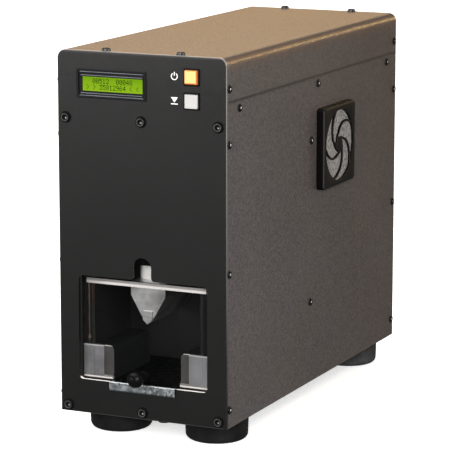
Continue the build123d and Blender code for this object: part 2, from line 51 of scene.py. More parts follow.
# ---------------------------------------------------------------- camera
AZ, EL = math.radians(24.873), math.radians(10.9)
back = Vector((math.sin(AZ) * math.cos(EL), -math.cos(AZ) * math.cos(EL), math.sin(EL)))
right = Vector((0, 0, 1)).cross(back).normalized()
up = back.cross(right)
cam_data = bpy.data.cameras.new("camera")
cam = bpy.data.objects.new("camera", cam_data)
bpy.context.scene.collection.objects.link(cam)
cam.location = P(0, 0, 303) + (back * 3852.706 + right * -18.385 + up * -35.587) / 1000.0
cam.rotation_euler = Matrix((right, up, back)).transposed().to_euler()
cam_data.sensor_width = 36.0
cam_data.lens = 2507.869 / 450.0 * 36.0
cam_data.clip_end = 200.0
bpy.context.scene.camera = cam
bpy.context.scene.view_settings.view_transform = "Standard"
bpy.context.scene.view_settings.look = "None"

# ---------------------------------------------------------------- mesh helpers
def new_obj(name, bm, mat, body, smooth=True, sharp=32.0, replaces=()):
    bmesh.ops.remove_doubles(bm, verts=bm.verts, dist=1e-7)
    bmesh.ops.recalc_face_normals(bm, faces=bm.faces)
    me = bpy.data.meshes.new(name)
    bm.to_mesh(me)
    bm.free()
    for p in me.polygons:
        p.use_smooth = smooth
    if smooth:
        me.set_sharp_from_angle(angle=math.radians(sharp))
    me.materials.append(mat)
    o = bpy.data.objects.new(name, me)
    bpy.context.scene.collection.objects.link(o)
    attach(o, body)
    if replaces:
        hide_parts(*replaces)
    return o


def loft(bm, rings, close_ring=False, cap_start=True, cap_end=True):
    """Joins rings of equal length. close_ring also joins the last ring to the first."""
    vs = [[bm.verts.new(p) for p in r] for r in rings]
    n = len(rings[0])
    pairs = list(zip(vs[:-1], vs[1:]))
    if close_ring:
        pairs.append((vs[-1], vs[0]))
    for a, b in pairs:
        for i in range(n):
            j = (i + 1) % n
            bm.faces.new((a[i], a[j], b[j], b[i]))
    if not close_ring:
        if cap_start:
            bm.faces.new(list(reversed(vs[0])))
        if cap_end:
            bm.faces.new(vs[-1])


def frame_of(direction):
    w = Vector(direction).normalized()
    a = Vector((0, 0, 1)) if abs(w.z) < 0.9 else Vector((1, 0, 0))
    u = a.cross(w).normalized()
    return u, w.cross(u), w


def lathe(bm, origin, direction, profile, n=32, shape=None):
    """profile: (radius mm, height mm) from one end to the other along direction, closed at both ends."""
    u, v, w = frame_of(direction)
    o = P(*origin)
    rings = []
    for k, (r, h) in enumerate(profile):
        ring = []
        for i in range(n):
            t = 2 * math.pi * i / n
            rr = r if shape is None else shape(k, r, t)
            ring.append(o + (u * (rr * math.cos(t)) + v * (rr * math.sin(t)) + w * h) / 1000.0)
        rings.append(ring)
    loft(bm, rings)


def hex_r(r, t):
    """Radius at angle t of a hexagon with inner radius r."""
    s = (t % (math.pi / 3)) - math.pi / 6
    return r / math.cos(s)


def button_screw(bm, p, d, hr, hh, sr, sl, hexr, n=36):
    """Button-head socket screw: dome, socket, and shank. p is under the head, d points out."""
    prof = [(0.3, -sl), (sr, -sl + 0.3), (sr, 0.0), (hr - 0.25, 0.0), (hr, 0.22), (hr, 0.22 + 0.18 * hh)]
    for k in range(1, 8):
        a = k / 8 * math.pi / 2
        prof.append((hexr * 1.45 + (hr - hexr * 1.45) * math.cos(a), 0.22 + 0.18 * hh + (hh * 0.82 - 0.22) * math.sin(a)))
    prof.append((hexr * 1.42, hh))
    first_hex = len(prof)
    prof += [(hexr * 1.02, hh - 0.02), (hexr, hh - 0.25), (hexr, hh * 0.34), (hexr * 0.3, hh * 0.2)]
    def shape(k, r, t):
        return hex_r(r, t) if first_hex <= k < first_hex + 3 else r
    lathe(bm, p, d, prof, n, shape)


def cap_screw(bm, p, d, hr, hh, sr, sl, hexr, n=48):
    """Cap screw with a chamfered flat head, an inner ring and a deep socket."""
    prof = [(0.3, -sl), (sr, -sl + 0.4), (sr, 0.0), (hr - 0.3, 0.0), (hr, 0.3), (hr, hh - 0.9), (hr - 0.25, hh - 0.35), (hr - 0.8, hh - 0.06), (hr - 1.1, hh),
            (hr - 2.2, hh), (hr - 2.45, hh - 0.12)]
    first_hex = len(prof)
    prof += [(hexr + 0.28, hh - 0.18), (hexr, hh - 0.5), (hexr, hh - 2.9), (hexr * 0.35, hh - 3.3)]
    def shape(k, r, t):
        return hex_r(r, t) if first_hex <= k < first_hex + 3 else r
    lathe(bm, p, d, prof, n, shape)


def rrect(x0, x1, z0, z1, r, y, n=6):
    """Rounded rectangle in X,Z at depth y, 4*(n+1) points."""
    pts = []
    for cx, cz, a0 in ((x1 - r, z1 - r, 0), (x0 + r, z1 - r, 90), (x0 + r, z0 + r, 180), (x1 - r, z0 + r, 270)):
        for k in range(n + 1):
            a = math.radians(a0 + 90.0 * k / n)
            pts.append(P(cx + r * math.cos(a), y, cz + r * math.sin(a)))
    return pts


def slab(bm, x0, x1, y0, y1, z0, z1, bevel=0.0, seg=2):
    m = Matrix.Translation(P((x0 + x1) / 2, (y0 + y1) / 2, (z0 + z1) / 2)) @ Matrix.Diagonal((abs(x1 - x0) / 1000, abs(y1 - y0) / 1000, abs(z1 - z0) / 1000, 1))
    r = bmesh.ops.create_cube(bm, size=1.0, matrix=m)
    if bevel:
        es = list({e for v in r["verts"] for e in v.link_edges})
        bmesh.ops.bevel(bm, geom=es, offset=bevel / 1000.0, segments=seg, profile=0.7, affect="EDGES")


# ---------------------------------------------------------------- materials
class M:
    """A small node builder around one Principled shader."""
    def __init__(self, name, color=(0.5, 0.5, 0.5), rough=0.5, metal=0.0, spec=0.5, **more):
        self.m = bpy.data.materials.new(name)
        self.m.use_nodes = True
        self.nt = self.m.node_tree
        self.b = self.nt.nodes["Principled BSDF"]
        self.b.inputs["Base Color"].default_value = (*color, 1)
        self.b.inputs["Roughness"].default_value = rough
        self.b.inputs["Metallic"].default_value = metal
        self.b.inputs["Specular IOR Level"].default_value = spec
        for k, v in more.items():
            self.b.inputs[k.replace("_", " ")].default_value = v
        self.co = self.nt.nodes.new("ShaderNodeTexCoord").outputs["Object"]

    def node(self, kind, **props):
        n = self.nt.nodes.new(kind)
        for k, v in props.items():
            setattr(n, k, v)
        return n

    def link(self, a, b):
        self.nt.links.new(a, b)
        return self

    def mapped(self, scale, rot=(0, 0, 0), loc=(0, 0, 0)):
        n = self.node("ShaderNodeMapping")
        n.inputs["Scale"].default_value = scale
        n.inputs["Rotation"].default_value = rot
        n.inputs["Location"].default_value = loc
        self.link(self.co, n.inputs["Vector"])
        return n.outputs["Vector"]

    def noise(self, scale, detail=2.0, rough=0.5, vec=None, distortion=0.0):
        n = self.node("ShaderNodeTexNoise")
        n.inputs["Scale"].default_value = scale
        n.inputs["Detail"].default_value = detail
        n.inputs["Roughness"].default_value = rough
        n.inputs["Distortion"].default_value = distortion
        self.link(vec or self.co, n.inputs["Vector"])
        return n.outputs["Fac"]

    def voronoi(self, scale, feature="F1", out="Distance", vec=None, randomness=1.0):
        n = self.node("ShaderNodeTexVoronoi", feature=feature)
        n.inputs["Scale"].default_value = scale
        n.inputs["Randomness"].default_value = randomness
        self.link(vec or self.co, n.inputs["Vector"])
        return n.outputs[out]

    def math(self, op, a, b=0.5, c=0.5, clamp=False):
        n = self.node("ShaderNodeMath", operation=op, use_clamp=clamp)
        for i, v in enumerate((a, b, c)):
            if isinstance(v, (int, float)):
                n.inputs[i].default_value = v
            else:
                self.link(v, n.inputs[i])
        return n.outputs[0]

    def remap(self, v, a0, a1, b0, b1):
        n = self.node("ShaderNodeMapRange")
        n.inputs["From Min"].default_value, n.inputs["From Max"].default_value = a0, a1
        n.inputs["To Min"].default_value, n.inputs["To Max"].default_value = b0, b1
        self.link(v, n.inputs["Value"])
        return n.outputs["Result"]

    def ramp(self, v, stops):
        n = self.node("ShaderNodeValToRGB")
        e = n.color_ramp.elements
        e[0].position, e[0].color = stops[0][0], (*stops[0][1], 1)
        e[1].position, e[1].color = stops[-1][0], (*stops[-1][1], 1)
        for p, c in stops[1:-1]:
            x = e.new(p)
            x.color = (*c, 1)
        self.link(v, n.inputs["Fac"])
        return n.outputs["Color"]

    def mix(self, fac, a, b):
        n = self.node("ShaderNodeMix", data_type="RGBA")
        for sock, v in ((n.inputs[0], fac), (n.inputs[6], a), (n.inputs[7], b)):
            if isinstance(v, (int, float)):
                sock.default_value = v
            elif isinstance(v, tuple):
                sock.default_value = (*v, 1)
            else:
                self.link(v, sock)
        return n.outputs[2]

    def xyz(self):
        """Body frame coordinates in millimetres, fixed to the piece."""
        s = self.node("ShaderNodeSeparateXYZ")
        self.link(self.co, s.inputs[0])
        return [self.math("MULTIPLY_ADD", s.outputs[i], 1000.0, (-DX, -DY, 0.0)[i]) for i in range(3)]

    def step(self, v, a, b):
        """0 below a, 1 above b (or the reverse when a > b), clamped."""
        return self.remap(v, a, b, 0.0, 1.0)

    def normal(self):
        s = self.node("ShaderNodeSeparateXYZ")
        self.link(self.node("ShaderNodeTexCoord").outputs["Normal"], s.inputs[0])
        return s.outputs

    def edges(self):
        """1 on chamfers and fillets, 0 on faces that lie square to an axis."""
        n = self.normal()
        big = self.math("MAXIMUM", self.math("MAXIMUM", self.math("ABSOLUTE", n[0]), self.math("ABSOLUTE", n[1])), self.math("ABSOLUTE", n[2]))
        return self.remap(big, 0.97, 0.85, 0.0, 1.0)

    def color(self, v):
        return self.link(v, self.b.inputs["Base Color"])

    def rough(self, v):
        return self.link(v, self.b.inputs["Roughness"])

    def bump(self, *pairs):
        """pairs of (height socket, distance in metres, strength), stacked."""
        last = None
        for h, dist, strength in pairs:
            n = self.node("ShaderNodeBump")
            n.inputs["Distance"].default_value = dist
            n.inputs["Strength"].default_value = strength
            self.link(h, n.inputs["Height"])
            if last is not None:
                self.link(last, n.inputs["Normal"])
            last = n.outputs["Normal"]
        self.link(last, self.b.inputs["Normal"])
        return self


def shade(c, k):
    return tuple(min(1.0, x * k) for x in c)


SEAM_Z = FOOT + 467.5


def powder(name, c, rough=0.5, grain=430.0, depth=0.00035, spec=0.5, var=0.36, bend_shade=None):
    """Textured powder coat: pebbled bump with slight mottling; painted warm light toward the rear and a painted shadow
    under the cover's lower edge.
    """
    m = M(name, c, rough, 0, spec)
    n1 = m.noise(grain, 2.5, 0.55)
    n2 = m.noise(grain * 0.42, 2.0, 0.5)
    big = m.noise(5.0, 2.0, 0.5)
    h = m.math("ADD", m.math("MULTIPLY", n1, 0.65), m.math("MULTIPLY", n2, 0.5))
    speck = m.noise(300.0, 2.0, 0.7)
    mott = m.math("ADD", m.math("MULTIPLY", speck, 0.85), m.math("MULTIPLY", big, 0.15))
    col = m.ramp(mott, [(0.34, shade(c, 1 - var)), (0.5, c), (0.66, shade(c, 1 + var))])
    x, y, z = m.xyz()
    # painted light: the coat tinted warmer toward the rear, standing in for warm light from behind, with some random
    # tone
    warm = m.math("ADD", m.step(y, -300.0, 320.0), m.math("MULTIPLY_ADD", m.noise(7.0, 3.0, 0.6), 1.2, -0.6))
    tint = m.mix(m.math("MULTIPLY", warm, 1.0, clamp=True), (1.0, 1.02, 1.07), (0.93, 0.845, 0.79))
    t = m.node("ShaderNodeMix", data_type="RGBA", blend_type="MULTIPLY")
    t.inputs[0].default_value = 1.0
    m.link(col, t.inputs[6])
    m.link(tint, t.inputs[7])
    col = t.outputs[2]
    side = m.step(m.math("ABSOLUTE", m.normal()[0]), 0.6, 0.8)
    # painted shadow on the side faces around the cover's lower edge, fading toward the rear
    seam_shadow = m.math("MULTIPLY", m.step(z, SEAM_Z - 4.2, SEAM_Z - 0.6), m.step(z, SEAM_Z + 3.4, SEAM_Z + 1.0))
    seam_shadow = m.math("MULTIPLY", m.math("MULTIPLY", seam_shadow, side), m.remap(y, -320.0, 320.0, 0.62, 0.42))
    col = m.mix(seam_shadow, col, (0.010, 0.009, 0.008))
    if bend_shade:
        # painted shade: browner on the rounded bends, where the light falls away
        col = m.mix(m.math("MULTIPLY", m.edges(), 0.7), col, bend_shade)
        # painted warm light: an orange glow on the sides just under the top bends, in random patches
        warm_glow = m.math("MULTIPLY", m.step(z, TOP - 24.0, TOP - 9.0), side)
        warm_glow = m.math("MULTIPLY", warm_glow, m.remap(m.noise(60.0, 3.0, 0.6), 0.3, 0.7, 0.25, 0.75))
        col = m.mix(warm_glow, col, (0.150, 0.088, 0.052))
        # painted shade: the top darker toward its far and outer part
        top_shade = m.math("ADD", m.remap(x, 10.0, 120.0, 0.0, 0.14), m.remap(y, -250.0, 300.0, 0.0, 0.09))
        col = m.mix(m.math("MULTIPLY", m.step(m.normal()[2], 0.7, 0.9), top_shade), col, (0.020, 0.014, 0.010))
    m.color(col)
    m.rough(m.remap(n1, 0.3, 0.7, rough - 0.07, rough + 0.09))
    m.bump((h, depth, 1.0))
    return m.m


def satin_paint(name, c, rough=0.42, depth=0.00008, spec=0.4, edge=None, sill_highlight=None, flank=False):
    """Fine satin paint with a faint orange peel; optional painted highlights and shade on its edges, flanks and the
    cut edge of the opening.
    """
    m = M(name, c, rough, 0, spec)
    n1 = m.noise(900.0, 2.0, 0.5)
    n2 = m.noise(140.0, 2.0, 0.5)
    tone = m.math("ADD", m.math("MULTIPLY", m.noise(7.0, 3.0, 0.5), 0.6), m.math("MULTIPLY", m.noise(330.0, 2.0, 0.6), 0.4))
    col = m.ramp(tone, [(0.35, shade(c, 0.84)), (0.65, shade(c, 1.18))])
    if flank:
        # painted highlights on the chamfers, lighter toward the top near the outer sides; painted light on the flanks
        # below
        x, y, z = m.xyz()
        ax = m.math("ABSOLUTE", x)
        lift = m.remap(z, 140.0, 520.0, 0.0, 1.0)
        side_edge_highlight = m.mix(lift, (0.006, 0.0057, 0.0055), (0.170, 0.157, 0.150))
        # painted light: the upper band of the face lighter, the top strip lighter still
        col = m.mix(m.remap(z, 515.0, 567.0, 0.0, 1.0), col, m.mix(m.step(z, 564.0, 567.5), (0.0085, 0.0082, 0.0080), (0.046, 0.043, 0.041)))
        col = m.mix(m.edges(), col, m.mix(m.step(ax, 126.0, 129.0), edge, side_edge_highlight))
        # shaded walls of the notch above the opening
        notch = m.math("MULTIPLY", m.step(ax, 36.0, 30.0), m.math("MULTIPLY", m.step(z, 238.0, 242.0), m.step(z, 300.0, 290.0)))
        wall = m.math("MAXIMUM", m.edges(), m.step(m.math("ABSOLUTE", m.normal()[1]), 0.9, 0.6))
        col = m.mix(m.math("MULTIPLY", notch, wall), col, (0.0012, 0.0011, 0.0011))
        # painted light: the panel's side faces lighter toward the top, darker toward the bottom
        side = m.math("MULTIPLY", m.step(ax, 131.0, 132.6), m.step(m.math("ABSOLUTE", m.normal()[0]), 0.7, 0.95))
        col = m.mix(side, col, m.mix(m.remap(z, 60.0, 230.0, 0.0, 1.0), (0.022, 0.020, 0.019), (0.105, 0.095, 0.088)))
        # painted highlight on the up-facing top face of the panel
        over = m.math("MULTIPLY", m.step(z, 560.0, 566.0), m.step(m.normal()[2], 0.7, 0.95))
        col = m.mix(over, col, (0.42, 0.39, 0.37))
    elif edge:
        col = m.mix(m.edges(), col, edge)
    if sill_highlight:
        # painted highlight on the up-facing cut edge at the bottom of the opening, dimmer in the middle
        x, y, z = m.xyz()
        up = m.step(m.normal()[2], 0.5, 0.8)
        low = m.math("MULTIPLY", m.step(z, 80.0, 82.0), m.step(z, 96.0, 94.0))
        low = m.math("MULTIPLY", low, m.remap(m.step(m.math("ABSOLUTE", x), 52.0, 55.0), 0.0, 1.0, 0.35, 1.0))
        col = m.mix(m.math("MULTIPLY", up, low), col, sill_highlight)
    m.color(col)
    m.rough(m.remap(n2, 0.3, 0.7, rough - 0.04, rough + 0.05))
    m.bump((n2, 0.0001, 0.35), (n1, depth, 0.7))
    return m.m


def brushed(name, c, rough=0.28, along="X", depth=0.00004, metal=1.0, blotch=0.12, fine=1900.0, tint=None):
    """Brushed metal: long fine scratches along one axis, with soft blotches."""
    m = M(name, c, rough, metal, 0.5)
    s = {"X": (0.02, 1, 1), "Y": (1, 0.02, 1), "Z": (1, 1, 0.02)}[along]
    vec = m.mapped(s)
    n1 = m.noise(fine, 2.0, 0.6, vec)
    n2 = m.noise(fine * 0.28, 2.0, 0.6, vec)
    sm = m.noise(28.0, 3.0, 0.55)
    line = m.math("ADD", m.math("MULTIPLY", n1, 0.5), m.math("MULTIPLY", n2, 0.5))
    c2 = tint or shade(c, 1 + blotch)
    base = m.mix(m.remap(sm, 0.35, 0.65, 0.0, 1.0), shade(c, 1 - blotch), c2)
    m.color(m.mix(m.remap(line, 0.3, 0.7, 0.0, 0.35), base, shade(c, 0.62)))
    m.rough(m.remap(line, 0.3, 0.7, rough - 0.08, rough + 0.12))
    m.bump((line, depth, 0.8))
    return m.m


def ground(name, c, rough=0.35, metal=1.0):
    """Ground or machined steel with a mild cloudiness."""
    m = M(name, c, rough, metal, 0.5)
    a = m.noise(60.0, 4.0, 0.6)
    b = m.noise(1500.0, 2.0, 0.5)
    m.color(m.ramp(a, [(0.3, shade(c, 0.82)), (0.7, shade(c, 1.12))]))
    m.rough(m.remap(a, 0.3, 0.7, rough - 0.06, rough + 0.1))
    m.bump((b, 0.00003, 0.5))
    return m.m


def moulded(name, c, rough=0.5, grain=1200.0, depth=0.00006, spec=0.5, edge=None, shade_walls=False):
    """Moulded plastic with a fine spark-eroded grain."""
    m = M(name, c, rough, 0, spec)
    n = m.noise(grain, 3.0, 0.6)
    v = m.noise(26.0, 3.0, 0.5)
    col = m.ramp(v, [(0.3, shade(c, 0.88)), (0.7, shade(c, 1.15))])
    if shade_walls:
        # painted shade: side walls near black, textured face
        col = m.mix(m.step(m.normal()[0], 0.5, 0.2), col, shade(c, 0.05))
    if edge:
        # painted highlight on the upright fillets
        upright = m.math("MULTIPLY", m.step(m.normal()[0], 0.1, 0.4), m.step(m.math("ABSOLUTE", m.normal()[2]), 0.5, 0.3))
        col = m.mix(m.math("MULTIPLY", m.edges(), upright), col, edge)
    m.color(col)
    m.rough(m.remap(n, 0.3, 0.7, rough - 0.06, rough + 0.08))
    m.bump((n, depth, 0.8))
    return m.m


mats = {}
mats["front_black"] = satin_paint("front_black_paint", (0.0050, 0.0050, 0.0049), 0.39, spec=0.375, edge=(0.085, 0.078, 0.074), sill_highlight=(0.95, 0.90, 0.86), flank=True)
mats["side_paint"] = powder("side_powder_coat", (0.084, 0.074, 0.068), 0.38, 430.0, 0.0007)
mats["cover_paint"] = powder("cover_powder_coat", (0.086, 0.075, 0.067), 0.38, 430.0, 0.0007, bend_shade=(0.062, 0.036, 0.020))
mats["frame_paint"] = satin_paint("frame_black_paint", (0.03, 0.03, 0.03), 0.5)
mats["black_steel"] = satin_paint("guard_black_paint", (0.010, 0.010, 0.010), 0.55)
mats["press_steel"] = ground("press_ground_steel", (0.035, 0.035, 0.035), 0.5)
mats["chamber_black"] = satin_paint("chamber_black_paint", (0.0045, 0.0045, 0.0045), 0.6, spec=0.12)
mats["guard_back_black"] = satin_paint("guard_back_paint", (0.0012, 0.0012, 0.0012), 0.7, spec=0.04)
mats["liner_steel"] = ground("liner_blackened_steel", (0.011, 0.0105, 0.0105), 0.5, 0.5)


def plate_steel(name):
    """Brushed support plate: painted highlights along the bottom and top edges, darker toward the sides."""
    m = M(name, (0.5, 0.5, 0.5), 0.42, 0.75, 0.5)
    vec = m.mapped((1, 1, 0.03))
    line = m.math("ADD", m.math("MULTIPLY", m.noise(1500.0, 2.0, 0.6, vec), 0.5), m.math("MULTIPLY", m.noise(420.0, 2.0, 0.6, vec), 0.5))
    soft = m.noise(30.0, 3.0, 0.55)
    base = m.mix(m.step(soft, 0.35, 0.65), (0.24, 0.24, 0.25), (0.39, 0.39, 0.405))
    base = m.mix(m.remap(line, 0.3, 0.7, 0.0, 0.6), base, (0.11, 0.11, 0.115))
    x, y, z = m.xyz()
    base = m.mix(m.math("MULTIPLY", m.step(x, 60.0, 101.0), m.step(line, 0.35, 0.65)), base, (0.44, 0.44, 0.455))
    base = m.mix(m.math("MULTIPLY", m.step(z, 95.6, 94.8), m.step(m.math("ABSOLUTE", x), 68.4, 68.1)), base, (0.30, 0.29, 0.28))
    # painted highlight: a near-white band along the bottom edge, with a dark line under it
    foot = m.step(z, 92.6, 92.0)
    base = m.mix(foot, base, (1.0, 0.95, 0.92))
    base = m.mix(m.step(z, 90.1, 89.6), base, (0.03, 0.03, 0.03))
    # painted highlight along the top edge
    top = m.step(z, 136.6, 137.2)
    base = m.mix(m.math("MULTIPLY", top, 0.8), base, (0.92, 0.91, 0.90))
    m.color(base)
    m.rough(m.remap(line, 0.3, 0.7, 0.36, 0.52))
    m.bump((line, 0.00004, 0.8))
    return m.m


mats["bright_steel"] = plate_steel("bright_brushed_steel")
mats["casing_steel"] = brushed("supply_casing_steel", (0.52, 0.53, 0.54), 0.38, "Y", blotch=0.10)


def bar_finish(name):
    """Cross bar: dull ground upper half, lower half a painted highlight, shaded toward its left end."""
    m = M(name, (0.8, 0.8, 0.8), 0.4, 0.55, 0.5)
    vec = m.mapped((0.02, 1, 1))
    line = m.math("ADD", m.math("MULTIPLY", m.noise(1900.0, 2.0, 0.6, vec), 0.5), m.math("MULTIPLY", m.noise(500.0, 2.0, 0.6, vec), 0.5))
    x, y, z = m.xyz()
    upper = m.mix(m.step(x, -98.0, -40.0), (0.14, 0.135, 0.13), (0.30, 0.285, 0.275))
    # painted highlight: the lower half near white, darker toward the left end
    lower = m.mix(m.step(x, -98.0, -60.0), (0.34, 0.32, 0.31), (0.90, 0.865, 0.845))
    col = m.mix(m.step(z, 234.0, 232.6), upper, lower)
    col = m.mix(m.remap(line, 0.3, 0.7, 0.0, 0.22), col, shade((0.5, 0.49, 0.48), 0.9))
    # painted shade: the upper face near black
    m.color(m.mix(m.step(m.normal()[2], 0.6, 0.9), col, (0.010, 0.0095, 0.009)))
    m.rough(m.remap(line, 0.3, 0.7, 0.3, 0.48))
    m.bump((line, 0.00003, 0.8))
    return m.m


mats["bar_steel"] = bar_finish("bar_brushed_steel")


def anvil_steel(name):
    """Blackened anvil steel: painted shade on the faces that don't face front, a painted highlight on the top front
    edge.
    """
    m = M(name, (0.05, 0.05, 0.05), 0.5, 0.1, 0.3)
    a = m.noise(60.0, 4.0, 0.6)
    col = m.ramp(a, [(0.3, (0.034, 0.032, 0.031)), (0.7, (0.055, 0.053, 0.051))])
    x, y, z = m.xyz()
    # painted shade: faces that don't face front near black
    faced = m.step(m.normal()[1], -0.85, -0.97)
    col = m.mix(faced, (0.006, 0.007, 0.0065), col)
    # painted highlight along the top front edge
    rim = m.math("MULTIPLY", m.step(z, 136.9, 137.5), m.step(y, -308.2, -309.0))
    col = m.mix(rim, col, (0.55, 0.54, 0.52))
    m.color(col)
    m.rough(m.remap(a, 0.3, 0.7, 0.38, 0.52))
    m.bump((m.noise(1500.0, 2.0, 0.5), 0.00003, 0.5))
    return m.m


mats["dark_steel"] = anvil_steel("anvil_blackened_steel")
mats["tool_steel"] = ground("tool_steel", (0.55, 0.55, 0.55), 0.25)
mats["gear_steel"] = ground("gear_steel", (0.38, 0.38, 0.40), 0.35)
mats["ram_chrome"] = brushed("ram_hard_chrome", (1.0, 0.995, 0.965), 0.45, "Z", blotch=0.0, metal=0.0)
mats["wedge_steel"] = brushed("wedge_ground_steel", (0.74, 0.74, 0.73), 0.36, "X", blotch=0.42, fine=700.0)
mats["tip_steel"] = brushed("wedge_tip_steel", (0.88, 0.88, 0.87), 0.30, "X", blotch=0.18, fine=1300.0)
mats["bronze"] = ground("bearing_bronze", (0.48, 0.30, 0.12), 0.38)
mats["motor_paint"] = satin_paint("motor_paint", (0.05, 0.055, 0.06), 0.4)
mats["black_plastic"] = moulded("black_moulded_plastic", (0.018, 0.018, 0.018), 0.45)
mats["bezel_black"] = moulded("bezel_black_plastic", (0.003, 0.003, 0.0035), 0.40, 1500.0, 0.00002, spec=0.2)
mats["button_frame"] = moulded("button_frame_plastic", (0.003, 0.0028, 0.0028), 0.45, spec=0.18)
mats["guard_plastic"] = moulded("guard_plastic", (0.0068, 0.0066, 0.0062), 0.55, spec=0.14, edge=(0.030, 0.027, 0.024), shade_walls=True)
mats["board_green"] = moulded("board_solder_mask", (0.01, 0.07, 0.025), 0.3)

# black oxide screws: dark, slightly metallic, worn rim
m = M("screw_black_oxide", (0.004, 0.004, 0.004), 0.3, 0.0, 0.2)
m.rough(m.remap(m.noise(900.0, 3.0, 0.6), 0.3, 0.7, 0.24, 0.38)).bump((m.noise(1800.0, 2.0), 0.00001, 0.5))
m.color(m.ramp(m.noise(300.0, 2.0), [(0.3, (0.003, 0.003, 0.003)), (0.7, (0.006, 0.006, 0.006))]))
mats["black_screws"] = m.m
m = M("screw_ring_oxide", (0.004, 0.004, 0.004), 0.6, 0.0, 0.1)
m.rough(m.remap(m.noise(900.0, 3.0, 0.6), 0.3, 0.7, 0.5, 0.7)).bump((m.noise(1500.0, 2.0), 0.00002, 0.5))
m.color(m.ramp(m.noise(300.0, 2.0), [(0.3, (0.002, 0.002, 0.002)), (0.7, (0.006, 0.006, 0.006))]))
mats["screw_ring"] = m.m
# painted highlight: a lighter ring on the head of each front screw
m = M("screw_turned_ring", (0.20, 0.20, 0.20), 0.42, 0.2, 0.5)
m.rough(m.remap(m.noise(900.0, 3.0, 0.6), 0.3, 0.7, 0.34, 0.5)).bump((m.noise(1200.0, 2.0), 0.00002, 0.6))
m.color(m.ramp(m.noise(260.0, 2.0), [(0.3, (0.055, 0.055, 0.055)), (0.7, (0.10, 0.10, 0.10))]))
mats["turned_ring"] = m.m
# painted glint: bright discs in the screw sockets
m = M("screw_socket_steel", (0.9, 0.9, 0.88), 0.45, 0.1, 0.5)
m.rough(m.remap(m.noise(900.0, 3.0, 0.6), 0.3, 0.7, 0.38, 0.55)).bump((m.noise(1200.0, 2.0), 0.00002, 0.6))
m.color(m.ramp(m.noise(500.0, 2.0), [(0.3, (0.82, 0.82, 0.80)), (0.7, (0.98, 0.98, 0.96))]))
mats["socket_steel"] = m.m
# painted glint: a dimmer grey for the front sockets and the tall heads
m = M("front_socket_steel", (0.25, 0.25, 0.25), 0.45, 0.2, 0.5)
m.rough(m.remap(m.noise(900.0, 3.0, 0.6), 0.3, 0.7, 0.38, 0.55)).bump((m.noise(1200.0, 2.0), 0.00002, 0.6))
m.color(m.ramp(m.noise(500.0, 2.0), [(0.3, (0.22, 0.22, 0.21)), (0.7, (0.36, 0.36, 0.35))]))
mats["worn_socket"] = m.m

# rubber feet: matte with fine grain; painted light makes the rear pair lighter
m = M("foot_rubber", (0.012, 0.012, 0.013), 0.62, 0, 0.25)
x, y, z = m.xyz()
rear_lit = m.step(y, -150.0, 180.0)
m.color(m.mix(rear_lit, m.ramp(m.noise(40.0, 4.0, 0.6), [(0.35, (0.004, 0.004, 0.0045)), (0.7, (0.010, 0.010, 0.0105))]), m.ramp(m.noise(60.0, 4.0, 0.6), [(0.35, (0.030, 0.030, 0.031)), (0.7, (0.060, 0.060, 0.062))])))
m.rough(m.remap(m.noise(90.0, 3.0), 0.3, 0.7, 0.52, 0.72)).bump((m.noise(1100.0, 3.0), 0.00008, 0.7))
mats["foot_rubber"] = m.m

# knob: polished phenolic
m = M("knob_phenolic", (0.003, 0.003, 0.003), 0.3, 0, 0.15)
m.rough(m.remap(m.noise(160.0, 3.0), 0.3, 0.7, 0.26, 0.36)).bump((m.noise(500.0, 2.0), 0.00001, 0.3))
m.color(m.ramp(m.noise(60.0, 2.0), [(0.3, (0.002, 0.002, 0.002)), (0.7, (0.005, 0.005, 0.005))]))
mats["knob_black"] = m.m

# zinc sheet: spangle cells with different reflectance
m = M("zinc_spangle", (0.6, 0.63, 0.64), 0.35, 1.0, 0.5)
cell = m.voronoi(210.0, "F1", "Color")
sep = m.node("ShaderNodeSeparateColor")
m.link(cell, sep.inputs[0])
zc = m.ramp(sep.outputs[0], [(0.0, (0.26, 0.30, 0.32)), (0.5, (0.50, 0.545, 0.565)), (1.0, (0.78, 0.83, 0.85))])
x, y, z = m.xyz()
# painted shade: darker low down inside the tray
zc = m.mix(m.step(z, 79.5, 77.0), zc, (0.10, 0.115, 0.12))
# painted shade: everything behind the front face of the lip near black
shade_behind_lip = m.step(m.math("ADD", y, m.math("MULTIPLY", m.noise(60.0, 3.0, 0.6), 1.5)), -324.6, -323.2)
zc = m.mix(shade_behind_lip, zc, (0.004, 0.006, 0.005))
# painted highlight along the top edge of the lip
m.color(m.mix(m.step(z, 88.4, 89.2), zc, m.mix(shade_behind_lip, (0.95, 0.99, 1.0), (0.004, 0.006, 0.005))))
m.rough(m.remap(sep.outputs[1], 0.0, 1.0, 0.26, 0.5)).bump((m.noise(420.0, 2.0), 0.00015, 0.6))
mats["zinc_sheet"] = m.m

# clear door: polycarbonate
m = M("door_clear_sheet", (0.02, 0.022, 0.022), 0.04, 0, 0.35, Alpha=0.03)
m.rough(m.remap(m.noise(12.0, 3.0), 0.3, 0.7, 0.03, 0.08)).bump((m.noise(4.0, 2.0), 0.0002, 0.2))
m.color(m.ramp(m.noise(9.0, 2.0), [(0.3, (0.015, 0.017, 0.017)), (0.7, (0.03, 0.032, 0.032))]))
m.m.surface_render_method = "BLENDED"
mats["clear_door"] = m.m

# open-cell filter foam
m = M("filter_foam", (0.22, 0.21, 0.195), 0.9, 0, 0.2)
fv = m.voronoi(520.0, "F1", "Distance")
fn = m.noise(700.0, 3.0, 0.7)
fc = m.noise(330.0, 2.0, 0.75)
m.color(m.ramp(m.math("ADD", m.math("MULTIPLY", fn, 0.25), m.math("MULTIPLY", fc, 0.75)), [(0.36, (0.13, 0.127, 0.12)), (0.5, (0.285, 0.28, 0.268)), (0.64, (0.50, 0.49, 0.47))]))
m.bump((fv, 0.0012, 0.9), (fn, 0.0008, 0.9))
mats["filter_foam"] = m.m

